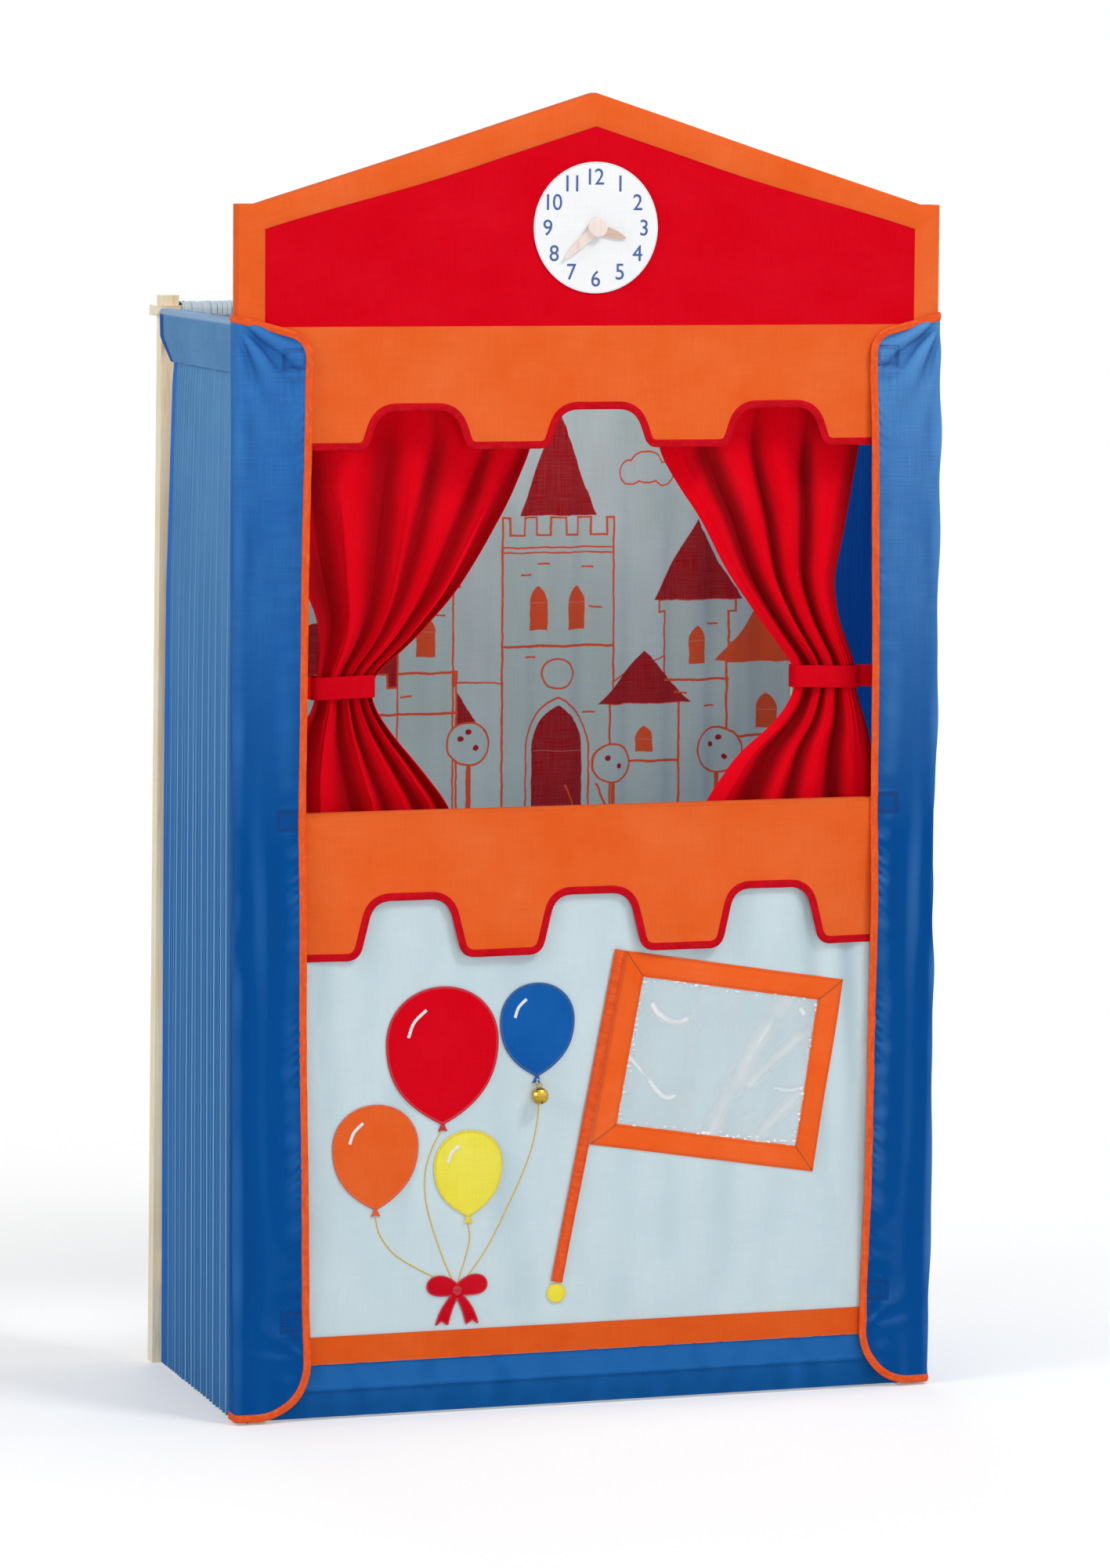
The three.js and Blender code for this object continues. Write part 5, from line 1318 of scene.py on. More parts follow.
class Print:
    """Flat shapes printed on the backdrop, worked out as distances in millimetres across and up the booth."""

    def __init__(self, tree):
        self.t = tree
        place = tree.coordinate("UV")
        wobble = tree.noise(place, 55.0, 2.0)
        u, v, _ = tree.split(place)
        shift = tree.maths("MULTIPLY", tree.maths("SUBTRACT", wobble, 0.5), 3.2)
        across = tree.maths("SUBTRACT", u, PRINT_WIDE * 0.0005)
        across = tree.maths("MULTIPLY", across, PRINT_SPAN / (PRINT_WIDE * 0.001))
        up = tree.maths("ADD", tree.maths("MULTIPLY", v, 1000), BACKDROP_HEM)
        self.x, self.z = tree.maths("ADD", across, shift), tree.maths("ADD", up, shift)
        self.spot = tree.nodes.new("ShaderNodeCombineXYZ").outputs[0]
        tree.links.new(self.x, self.spot.node.inputs[0])
        tree.links.new(self.z, self.spot.node.inputs[1])

    def off(self, socket, middle):
        return self.t.maths("ABSOLUTE", self.t.maths("SUBTRACT", socket, middle))

    def box(self, x, foot, wide, tall):
        return self.both(self.t.maths("SUBTRACT", self.off(self.x, x), wide / 2),
                         self.t.maths("SUBTRACT", self.off(self.z, foot + tall / 2), tall / 2))

    def disc(self, x, z, radius):
        node = self.t.nodes.new("ShaderNodeVectorMath")
        node.operation = "DISTANCE"
        self.t.links.new(self.spot, node.inputs[0])
        node.inputs[1].default_value = (x, z, 0)
        return self.t.maths("SUBTRACT", node.outputs["Value"], radius)

    def roof(self, x, foot, wide, tall):
        slope = 2 * tall / wide
        side = self.t.maths("MULTIPLY_ADD", self.off(self.x, x), slope, -foot - tall)
        side = self.t.maths("DIVIDE", self.t.maths("ADD", side, self.z), math.hypot(1, slope))
        return self.both(side, self.t.maths("SUBTRACT", foot, self.z))

    def arch(self, x, foot, wide, tall):
        """A pointed window or door."""
        spring = foot + tall - wide * 0.87
        head = self.both(self.disc(x - wide / 2, spring, wide), self.disc(x + wide / 2, spring, wide))
        head = self.both(head, self.t.maths("SUBTRACT", spring, self.z))
        return self.either(head, self.box(x, foot, wide, spring - foot))

    def battlement(self, x, foot, wide, tall, pitch, tooth):
        """A wall whose top edge has square teeth."""
        along = self.t.maths("PINGPONG", self.t.maths("SUBTRACT", self.x, x - wide / 2), pitch)
        notch = self.both(self.t.maths("SUBTRACT", pitch / 2, along),
                          self.t.maths("SUBTRACT", foot + tall - tooth, self.z))
        return self.both(self.box(x, foot, wide, tall), self.t.maths("MULTIPLY", notch, -1.0))

    def both(self, a, b):
        return self.t.maths("MAXIMUM", a, b)

    def either(self, *distances):
        total = distances[0]
        for d in distances[1:]:
            total = self.t.maths("MINIMUM", total, d)
        return total

    def fill(self, base, distance, colour):
        return self.t.mixed(self.t.range(distance, -0.45, 0.45, 1.0, 0.0), base, linear(colour))

    def line(self, base, distance, colour, width=2.4):
        return self.fill(base, self.t.maths("SUBTRACT", self.t.maths("ABSOLUTE", distance), width / 2), colour)


GROUND, BRICK, DARK = "#B2C5C3", "#DA5022", "#A00A14"


def printed():
    """A made-up town: towers with pointed roofs, walls with battlements, a gate, round trees, hills and clouds."""
    t = Tree("print_cotton")
    place = t.coordinate("UV")
    cloth = t.mixed(t.range(t.noise(place, 7.0, 3.0), 0.35, 0.7, 0, 1), linear(GROUND), linear("#BFD0D2"))
    p = Print(t)

    def body(base, shape):
        """A building in the colour of the cloth, drawn round with a line."""
        return p.line(p.fill(base, shape, GROUND), shape, BRICK)

    base = cloth
    clouds = [p.either(p.disc(x, z, 14), p.disc(x + 18, z + 6, 18), p.disc(x + 38, z - 2, 13))
              for x, z in ((-112, 1002), (168, 996))]
    base = p.line(base, p.either(*clouds), BRICK, 2.0)
    hills = p.either(p.disc(-250, 560, 250), p.disc(-20, 470, 290), p.disc(300, 500, 300))
    base = p.line(base, hills, BRICK, 2.0)
    base = p.fill(base, p.both(p.disc(-190, 640, 190), t.maths("SUBTRACT", 700, p.z)), DARK)
    base = body(base, p.either(p.box(246, 600, 76, 250), p.box(246, 836, 90, 14)))
    base = p.fill(base, p.roof(246, 850, 104, 92), DARK)
    base = body(base, p.battlement(-160, 600, 250, 172, 16, 16))
    base = body(base, p.either(p.box(-72, 600, 66, 282), p.box(-72, 868, 80, 14)))
    base = p.fill(base, p.roof(-72, 882, 94, 96), DARK)
    base = body(base, p.battlement(82, 600, 128, 346, 16, 20))
    base = p.line(base, p.box(82, 906, 128, 6), BRICK, 2.0)
    base = p.fill(base, p.roof(82, 948, 92, 118), DARK)
    base = body(base, p.box(330, 600, 96, 178))
    base = p.fill(base, p.roof(330, 778, 122, 74), BRICK)
    base = body(base, p.box(184, 600, 84, 132))
    base = p.fill(base, p.roof(184, 732, 108, 60), DARK)
    windows = [p.arch(*spot) for spot in ((60, 818, 22, 50), (104, 818, 22, 50), (-72, 790, 20, 46),
                                          (246, 776, 20, 44), (-200, 664, 24, 46), (-136, 664, 24, 46),
                                          (330, 700, 22, 40), (184, 676, 18, 30))]
    base = p.fill(base, p.either(*windows), BRICK)
    gate = p.arch(82, 600, 60, 132)
    base = p.fill(base, gate, DARK)
    base = p.line(base, t.maths("SUBTRACT", gate, 8.0), BRICK, 2.2)
    base = p.line(base, p.disc(82, 768, 17), BRICK, 2.2)
    bands = [p.box(82, 798, 128, 3), p.box(-72, 770, 66, 3), p.box(246, 756, 76, 3), p.box(184, 664, 84, 3),
             p.box(330, 690, 96, 3), p.box(-160, 724, 250, 3)]
    base = p.fill(base, p.either(*bands), BRICK)
    stones = [p.box(x, z, 14, 2.2) for x, z in ((44, 880), (66, 892), (118, 888), (50, 786), (120, 722), (126, 842),
                                                (-90, 846), (-56, 836), (-94, 744), (-230, 702), (-168, 706),
                                                (-110, 690), (266, 820), (228, 742), (262, 726))]
    base = p.fill(base, p.either(*stones), BRICK)
    trees = p.either(p.disc(-22, 690, 24), p.disc(146, 664, 22), p.disc(272, 676, 26))
    base = p.fill(base, p.either(*[p.box(x, 600, 5, z) for x, z in ((-22, 70), (146, 46), (272, 54))]), BRICK)
    base = p.line(p.fill(base, trees, GROUND), trees, BRICK)
    dots = [p.disc(x, z, 3.2) for x, z in ((-30, 696), (-14, 686), (-22, 704), (140, 670), (154, 660), (264, 682),
                                           (280, 668), (274, 690))]
    base = p.fill(base, p.either(*dots), DARK)
    road = p.both(p.either(t.maths("ABSOLUTE", p.disc(-60, 560, 170)), t.maths("ABSOLUTE", p.disc(-90, 540, 240))),
                  t.maths("SUBTRACT", p.z, 640))
    base = p.fill(base, t.maths("SUBTRACT", road, 1.2), BRICK)
    flags = [p.both(p.roof(x + 11, z, 22, 14), p.box(x + 11, z, 22, 14)) for x, z in ((82, 1072), (246, 946))]
    base = p.fill(base, p.either(*flags), BRICK)

    slubs = t.slubs(place)
    base = t.mixed(t.range(slubs, 0.75, 1.25, 0.13, 0.0), base, linear("#7C8A92"))
    base = t.mixed(t.range(t.attribute("behind"), 0, 1, 0, 0.62), base, linear("#D4E0E5"))
    height = t.split(t.coordinate("Object"))[2]
    base = t.mixed(t.range(height, 1.174, 1.182, 0, 0.9), base, linear("#C8DDE6"))
    # Painted shade in the hollows of the gathered heading, darkest in the gaps between its gathers
    base = t.mixed(t.range(t.attribute("fold"), 0.5, 0, 0, 0.7), base, linear("#8093A2"))
    gap_shade = t.maths("MULTIPLY", t.range(t.attribute("fold"), 0.42, 0.08, 0, 0.8),
                   t.range(height, 1.176, 1.184, 0, 1))
    base = t.mixed(gap_shade, base, linear("#50656C"))
    crease = t.noise(t.mapped(place, scale=(1.0, 0.45, 1)), 26.0, 3.0, 0.55, 0.6)
    normal = t.bump(slubs, 0.35, 0.00025, t.bump(crease, 0.4, 0.0035))
    # Painted light: below the heading the cloth glows a little in its own colour, lightening the inside of the booth
    through = t.range(height, 1.174, 1.16, 0, 0.2)
    return t.set(Base_Color=base, Roughness=0.9, Normal=normal, Emission_Color=base, Emission_Strength=through,
                 Specular_IOR_Level=0.04)


sheet(backdrop(), "backdrop", printed(), (1000, 700))

# Stage curtains, gathered on the rod and held at the waist

DROP = 467.0
CURTAIN_TOP = ROD_Z - 6
CURTAIN_WIDE = 620
WAIST, TIEBACK_Z = 0.685, 789.9
# deep is how strongly shade is painted into each curtain's hollows
DRAPES = {
    "left": dict(
        outer_at_rod=362.1, inner_at_rod=50.0, mirror=False, seed=101, lean=0.4, cut=380, count=4.6, deep=0.36,
        outer=[(0, 1), (0.23, 0.96), (0.43, 0.86), (0.53, 0.797), (0.63, 0.797), (0.655, 0.806), (0.715, 0.806),
               (0.79, 0.87), (0.9, 0.94), (1, 0.97)],
        inner=[(0, 0), (0.13, 0.02), (0.26, 0.105), (0.38, 0.21), (0.47, 0.3), (0.59, 0.47), (0.655, 0.605),
               (0.715, 0.605), (0.79, 0.53), (0.87, 0.425), (0.96, 0.32), (1, 0.3)]),
    "right": dict(
        outer_at_rod=330.0, inner_at_rod=85.0, mirror=True, seed=131, lean=2.6, cut=290, count=3.7, deep=0.48,
        outer=[(0, 1), (0.14, 0.955), (0.37, 0.87), (0.45, 0.835), (0.54, 0.86), (0.655, 0.95), (0.715, 0.95),
               (0.79, 1), (0.9, 1.05), (1, 1.08)],
        inner=[(0, 0), (0.14, 0), (0.22, 0.09), (0.3, 0.2), (0.42, 0.32), (0.5, 0.43), (0.59, 0.56), (0.655, 0.665),
               (0.715, 0.665), (0.79, 0.56), (0.85, 0.4), (0.96, 0.25), (1, 0.22)]),
}


def edge_reach(drape, table, down):
    """How far from the middle a stage curtain's inner or outer edge hangs, at a share of its drop."""
    inner, outer = drape["inner_at_rod"], drape["outer_at_rod"]
    soft = 0
    for shift in (-0.03, -0.015, 0, 0.015, 0.03):
        soft = soft + np.interp(np.clip(down + shift, 0, 1), *np.array(drape[table]).T) / 5
    return inner + (outer - inner) * soft


def fold_at(drape, u, down):
    """Where in its folds a place on a stage curtain lies: their turn, and 0 in a hollow to 1 on a broad crest."""
    seed = drape["seed"]
    spread = u + 0.05 * np.sin(2 * math.pi * 1.2 * u + drape["lean"]) + 0.018 * np.sin(2 * math.pi * 3 * u + 2)
    turn = 2 * math.pi * drape["count"] * (spread + 0.025 * ripple(8 * u, 2.0 * down, seed, 6)) + 0.9
    return turn, np.abs(np.sin(turn / 2)) ** 0.75


def stage_curtain(side_name):
    """A curtain in deep folds, drawn in at its waist, with a sleeve round the rod."""
    drape = DRAPES[side_name]
    mirror, seed = drape["mirror"], drape["seed"]

    def hang(u, v):
        down = 1 - v
        outer, inner = -edge_reach(drape, "outer", down), -edge_reach(drape, "inner", down)
        waist = smooth(0.45, 0.66, down) * smooth(0.86, 0.71, down)
        tight = smooth(0.6, 0.66, down) * smooth(0.77, 0.71, down)
        turn, crest = fold_at(drape, u, down)
        uneven = 0.85 + 0.25 * ripple(9 * u, 1.1 * down, seed + 5, 4)
        depth = (5.5 + 9.5 * smooth(0.02, 0.42, down) - 3.5 * waist) * np.clip(uneven, 0.5, 1.25)
        broad = 1.8 * ripple(3 * u, 1.6 * down, seed + 6, 3) * smooth(0, 0.2, down) * (1 - tight)
        minor = np.sin(2 * math.pi * 15 * u + 4 * down + ripple(9 * u, 2 * down, seed + 1, 5))
        minor = minor * (1.5 * smooth(0.5, 0.64, down) * smooth(0.9, 0.72, down) + 0.5 * smooth(0.25, 0.02, down))
        crush = 0.5 * ripple(260 * u, 380 * down, seed + 2, 80) * (1 - 0.5 * waist)
        lean = 0.45 * depth * np.sin(turn) * smooth(0.05, 0.3, down) * (np.abs(outer - inner) / 190)
        lean = lean * smooth(0, 0.04, u) * smooth(1, 0.96, u)
        limit = 14.5 - 5.5 * tight
        y = depth * (1 - 2 * crest) + minor + crush + broad
        z = CURTAIN_TOP - DROP * down - 3.0 * smooth(0.9, 1, down) * ripple(7 * u, 0 * u, seed + 3, 4)
        x = outer + (inner - outer) * u + lean
        return stack(-x if mirror else x, ROD_Y + limit * np.tanh(y / limit), z)

    def sleeve(u, v):
        x = -(drape["outer_at_rod"] + (drape["inner_at_rod"] - drape["outer_at_rod"]) * u)
        turn = 2 * math.pi * v - math.pi / 2
        crimp = 0.55 * (1 + np.sin(2 * math.pi * 34 * u + 1.5 * ripple(30 * u, v, seed + 4, 6)))
        radius = 6.5 + crimp
        return stack(-x if mirror else x, ROD_Y + radius * np.cos(turn), ROD_Z + radius * np.sin(turn))

    drop = cloth_grid("hang", 196, 130, hang, (CURTAIN_WIDE, 470), 0.9)
    u, v = (flat_places(drop) / (CURTAIN_WIDE, 470)).T
    crest = fold_at(drape, u, 1 - v)[1]
    # Painted shade in the hollows and along the outer edge, painted light on the broad crests
    shaded = smooth(0.14, 0.02, u + 0.03 * ripple(4 * v, 0 * v, seed + 7, 2)) * smooth(0.0, 0.15, 1 - v)
    tone = 0.5 - drape["deep"] * smooth(0.83, 0.28, crest) * smooth(0.0, 0.2, 1 - v)
    tone = tone + 0.25 * smooth(0.9, 1, crest)
    marked(drop, "fold", np.maximum(tone - 0.4 * shaded, 0))
    round_rod = cloth_grid("sleeve", 240, 16, sleeve, (CURTAIN_WIDE, 45), 0.8)
    marked(round_rod, "fold", 0.5)
    return joined(f"stage_curtain_{side_name}_cloth", drop, round_rod)


def tieback(side_name):
    """A band round the curtain's waist, and the strap that ties it to the front post."""
    drape = DRAPES[side_name]
    sign = -1 if drape["mirror"] else 1
    left = -edge_reach(drape, "outer", np.array(WAIST)) - 3.6
    right = -edge_reach(drape, "inner", np.array(WAIST)) + 3.6
    half, corner = 10.6, 6.6
    turn = np.linspace(0, math.pi / 2, 8)
    near, far = ROD_Y - half + corner, ROD_Y + half - corner
    arcs = []
    for cx, cy, start in ((right - corner, near, -math.pi / 2), (right - corner, far, 0),
                          (left + corner, far, math.pi / 2), (left + corner, near, math.pi)):
        arcs.append(np.stack([cx + corner * np.cos(turn + start), cy + corner * np.sin(turn + start)], 1))
    loop = spaced_round(np.concatenate(arcs), 3.0)
    run = np.roll(loop, -1, 0) - np.roll(loop, 1, 0)
    out = np.stack([run[:, 1], -run[:, 0]], 1) / np.linalg.norm(run, axis=1)[:, None]
    soft = 0.35 * np.sin(loop[:, 0] * 0.4)
    height = TIEBACK_Z + 0.8 * np.sin((loop[:, 0] - (left + right) / 2) * 0.05)
    band = rolled("band", stack(sign * loop[:, 0], loop[:, 1] + out[:, 1] * soft * 0.3, height),
                  stack(sign * out[:, 0], out[:, 1], 0 * out[:, 0]), oval(24.4, 1.3, 14, 0.35), closed=True)
    post = -365 + 0.9
    line = spaced([(post, 5.5), (post, 17.5), (post + 0.6, 19.2), (left - 2, ROD_Y - 5), (left - 0.4, ROD_Y - 2.5)],
                  3.0)
    run = np.gradient(line, axis=0)
    strap = rolled("strap", stack(sign * line[:, 0], line[:, 1], TIEBACK_Z),
                   stack(sign * run[:, 1], -run[:, 0], 0 * run[:, 1]), oval(24.0, 1.1, 14, 0.35))
    return joined(f"tieback_{side_name}_cloth", band, strap)


for side_name, drape in DRAPES.items():
    sheet(stage_curtain(side_name), f"stage_curtain_{side_name}", curtain_red, (drape["cut"], 505))
    sheet(tieback(side_name), f"tieback_{side_name}", red, (300, 26))

# Clear pocket in a mitred frame, beside a strip like a flagstaff

POCKET = dict(centre=(151.0, 372.0), half=(129.0, 107.5), tilt=math.radians(9.2))
WINDOW_HALF = (106.0, 84.5)
PER_SIDE = 26


def tilted(a, b):
    """A place in the pocket's own square, put on the front; its side by the pole leans out with the pole."""
    c, s = math.cos(POCKET["tilt"]), math.sin(POCKET["tilt"])
    w, h = POCKET["half"]
    a = a - 6.4 * np.clip(-a / w, 0, 1) * np.clip((h - b) / (2 * h), 0, 1)
    return POCKET["centre"][0] + a * c + b * s, POCKET["centre"][1] - a * s + b * c


def square(inset):
    """The pocket's outline, drawn in by a distance, in its own square."""
    w, h = POCKET["half"][0] - inset, POCKET["half"][1] - inset
    corners = np.array([(-w, -h), (w, -h), (w, h), (-w, h), (-w, -h)])
    return np.concatenate([a + (b - a) * np.linspace(0, 1, PER_SIDE, endpoint=False)[:, None]
                           for a, b in zip(corners, corners[1:])] + [corners[:1]])


def pocket_frame():
    insets = np.array([0.2, 1.4, 5.0, 13.0, 21.0, 24.4, 26.0])
    proud = np.array([0.5, -0.1, -0.3, -0.35, -0.3, -0.1, 0.5])
    lines = np.array([square(i) for i in insets])

    def place(u, v):
        i = np.rint(v * (len(insets) - 1)).astype(int)
        j = np.rint(u * (lines.shape[1] - 1)).astype(int)
        x, z = tilted(lines[i, j, 0], lines[i, j, 1])
        corner = np.minimum(1, np.min(np.abs(PER_SIDE * np.arange(5)[:, None] - j[None]), axis=0) / 1.5)
        return stack(x, -0.9 + proud[i] * (0.25 + 0.75 * corner) + front_wave(x, z), z)

    return cloth_grid("pocket_frame_cloth", lines.shape[1] - 1, len(insets) - 1, place, (950, 26), 0.9)


# Creases of the clear sheet: where each runs, how high and how wide it is, and how bright the highlight painted along
# it is
CREASES = [
    ([(-86, 52), (-80, 45), (-70, 39), (-60, 36), (-52, 37), (-46, 41)], 0.5, 3.0, 1.0),
    ([(-104, -6), (-94, -14), (-84, -23), (-76, -29)], 0.4, 1.7, 0.9),
    ([(-75, -31), (-66, -40), (-57, -46), (-50, -47), (-45, -44)], 0.5, 2.2, 1.0),
    ([(99, -17), (90, -21), (78, -22), (68, -21)], 0.3, 1.4, 0.8),
    ([(84, 69), (88, 65)], 0.4, 2.8, 1.0),
    ([(66, 80), (50, 52), (37, 20), (24, -20), (12, -50), (2, -80)], 0.0, 11.0, 0.46),
    ([(54, 56), (42, 30), (34, 6)], 0.0, 4.5, 0.62),
    ([(98, 44), (84, 34), (66, 14), (48, -6), (38, -20)], 0.0, 6.0, 0.52),
    ([(96, -24), (80, -46), (66, -64), (54, -82)], 0.0, 7.0, 0.46),
    ([(-37, 84), (-35, 20), (-36, -84)], 0.0, 3.6, 0.14),
]


def from_line(a, b, points):
    """Distance of each place from a bent line."""
    best = np.full(np.shape(a), 1e9)
    for (ax, az), (bx, bz) in zip(points, points[1:]):
        run = np.array([bx - ax, bz - az], float)
        t = np.clip(((a - ax) * run[0] + (b - az) * run[1]) / (run @ run), 0, 1)
        best = np.minimum(best, np.hypot(a - ax - t * run[0], b - az - t * run[1]))
    return best


def pocket_window():
    w, h = WINDOW_HALF

    def inwards(a, b):
        return np.minimum(w - np.abs(a), h - np.abs(b))

    def place(u, v):
        a, b = (u - 0.5) * 2 * w, (v - 0.5) * 2 * h
        x, z = tilted(a, b)
        from_edge = inwards(a, b)
        inside = smooth(2, 12, from_edge)
        buckle = 0.4 * ripple(a, b, 91, 90)
        for points, tall, wide, _ in CREASES:
            buckle = buckle + tall * np.exp(-((from_line(a, b, points) / wide) ** 2))
        pucker = 0.3 * np.abs(ripple(a, b, 94, 13)) * smooth(0.5, 4, from_edge) * smooth(14, 5, from_edge)
        return stack(x, -0.7 + front_wave(x, z) - inside * np.maximum(buckle, -0.2) - pucker, z)

    piece = cloth_grid("pocket_window_sheet", 150, 120, place, (2 * w, 2 * h), 0.35)
    a, b = (flat_places(piece) - WINDOW_HALF).T
    # Along the creases, partly the whitish haze of creased vinyl, partly painted highlights, broken up at random;
    # near the edges, most of all at the foot, painted glints
    mark = 0.12 * np.maximum(ripple(a, 0.6 * b, 96, 60), 0)
    for points, _, wide, bright in CREASES:
        off = from_line(a, b, points) / wide
        patchiness = np.clip(0.85 + 0.3 * ripple(a, b, int(wide * 10), 55), 0, 1)
        mark = np.maximum(mark, np.exp(-(off**1.6)) * patchiness * bright)
    near_foot = 1 + smooth(-60, -80, b) * smooth(-50, 0, a)
    glints = np.maximum(1.2 * ripple(a, 1.8 * b, 95, 10) - 0.3, 0) * smooth(11, 4, inwards(a, b)) * near_foot
    marked(piece, "creased", np.maximum(mark, glints))
    return piece


def on_front(x, z, out=0.0):
    return stack(x, -out + front_wave(x, z), z)


frame_cloth = pocket_frame()
rows = []
for name, inset in (("inner", 23.6), ("outer", 2.2)):
    a = square(inset)
    x, z = tilted(a[:, 0], a[:, 1])
    rows.append(stitches(f"pocket_{name}_stitches", "pocket_frame", on_front(x, z, 1.75), (0, -1, 0), orange_thread,
                         length=2.5, pitch=3.3, width=0.5))
for i, (sa, sb) in enumerate(((-1, -1), (1, -1), (1, 1), (-1, 1))):
    w, h = POCKET["half"]
    a = np.linspace(0.8, 25.6, 12)
    x, z = tilted(sa * (w - a), sb * (h - a))
    rows.append(rolled(f"pocket_mitre_{i}", on_front(x, z, 1.55), (0, -1, 0), oval(0.7, 0.5, 8)))
    dressed(rows[-1], "pocket_frame", brown_thread, "orange_cloth")
window = pocket_window()
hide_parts("pocket_window")


def vinyl():
    """Clear soft vinyl: it shows the cloth behind, and its creases catch the light; along them and at its edges it is
    also painted whiter and less clear, partly as haze, partly as painted highlights and glints.
    """
    t = Tree("clear_vinyl")
    place = t.coordinate("UV")
    soft = t.noise(place, 30.0, 2.0, 0.5, 0.8)
    creased = t.attribute("creased")
    t.set(IOR=1.5, Specular_IOR_Level=1.0, Coat_Weight=1.0, Coat_Roughness=0.03)
    # Painted highlight: white and nearly opaque where the crease mark is strong
    return t.set(Base_Color=t.mixed(creased, linear("#E6F2F6"), linear("#FFFFFF")),
                 Alpha=t.range(creased, 0.0, 1.0, 0.18, 0.95),
                 Roughness=t.range(soft, 0.3, 0.7, 0.05, 0.12), Normal=t.bump(soft, 0.3, 0.0012))


dressed(window, "pocket_window", vinyl())
sheet(frame_cloth, "pocket_frame", pocket_orange_lit, (258, 215))


def pole_strip():
    top, foot = np.array([34.0, 500.0]), np.array([-37.0, 138.0])
    way = (foot - top) / np.linalg.norm(foot - top)
    side_way = np.array([-way[1], way[0]])

    def place(u, v):
        across = (u - 0.5) * 12.6
        spot = top + way * (np.linalg.norm(foot - top) * (1 - v))[:, None] + side_way * across[:, None]
        x, z = spot[:, 0], spot[:, 1]
        under = smooth(6.3, 5.0, np.abs(across))
        y = -2.1 - 0.45 * under - 0.12 * ripple(x * 3, z, 95, 26) + front_wave(x, z)
        return stack(x, y, z)

    strip = cloth_grid("pole_strip_cloth", 8, 130, place, (13, 369), 1.0)
    for name, across in (("a", -4.6), ("b", 4.6)):
        line = spaced([top + side_way * across, foot + side_way * across], 3)
        stitches(f"pole_stitches_{name}", "flag_pole", on_front(line[:, 0], line[:, 1], 3.15), (0, -1, 0),
                             red_thread, length=2.4, pitch=3.2, width=0.45)
    sheet(strip, "flag_pole", orange_binding, (14, 370))


pole_strip()

# Sewn-on pictures: balloons on embroidered strings, a bow and the end of the pole


def satin(name, colour, dark, light):
    """Close satin stitch over an edge: fine threads side by side across it, with a silky shine."""
    t = Tree(name)
    u, v, _ = t.split(t.coordinate("UV"))
    slanting = t.maths("ADD", u, t.maths("MULTIPLY", v, 0.25))
    lines = t.maths("SINE", t.maths("MULTIPLY", slanting, 2 * math.pi / 0.00055))
    uneven = t.noise(t.mapped(t.coordinate("UV"), scale=(900, 40, 1)), 1.0, 1.0)
    base = t.mixed(t.range(lines, -1, 1, 0.55, 1), linear(dark), linear(colour))
    base = t.mixed(t.range(uneven, 0.45, 0.75, 0, 0.8), base, linear(light))
    return t.set(Base_Color=base, Roughness=0.55, Normal=t.bump(lines, 0.35, 0.0001))


satins = {
    "red": satin("red_satin", "#C40A20", "#A60016", "#E03848"),
    "orange": satin("orange_satin", "#E0521A", "#C84410", "#F28448"),
    "yellow": satin("yellow_satin", "#E6D01C", "#CDB412", "#F8F080"),
    "blue": satin("blue_satin", "#154C90", "#0E3C78", "#3C78BC"),
    "white": satin("white_satin", "#E6EAEE", "#BCC4CC", "#FFFFFF"),
    "gold": satin("gold_satin", "#D9B23A", "#A8821C", "#F0D878"),
}
COTTONS = {"red": red, "orange": orange, "yellow": yellow, "blue": patch_blue}
BALLOONS = {
    "red": ((-168, 392), (62, 74)), "orange": ((-243, 284), (47, 56)),
    "yellow": ((-138, 262), (38, 46)), "blue": ((BELL_X, 416), (41, 50)),
}


def curve4(a, b, c, d, steps=22):
    t = np.linspace(0, 1, steps, endpoint=False)[:, None]
    a, b, c, d = (np.array(p, float) for p in (a, b, c, d))
    return (1 - t) ** 3 * a + 3 * t * (1 - t) ** 2 * b + 3 * t**2 * (1 - t) * c + t**3 * d


PATCH_THICK = 0.9


def balloon_line(centre, half):
    (x, z), (w, h) = centre, half
    foot, wide = z - h, z + h * 0.2
    right = [curve4((x, foot), (x + w * 0.75, foot + h * 0.3), (x + w, z - h * 0.3), (x + w, wide)),
             curve4((x + w, wide), (x + w, z + h * 0.68), (x + w * 0.55, z + h), (x, z + h))]
    right = np.concatenate(right)
    left = (np.concatenate([right, [[x, z + h]]])[::-1] - [x, 0]) * [-1, 1] + [x, 0]
    return np.concatenate([right, left[:-1]])


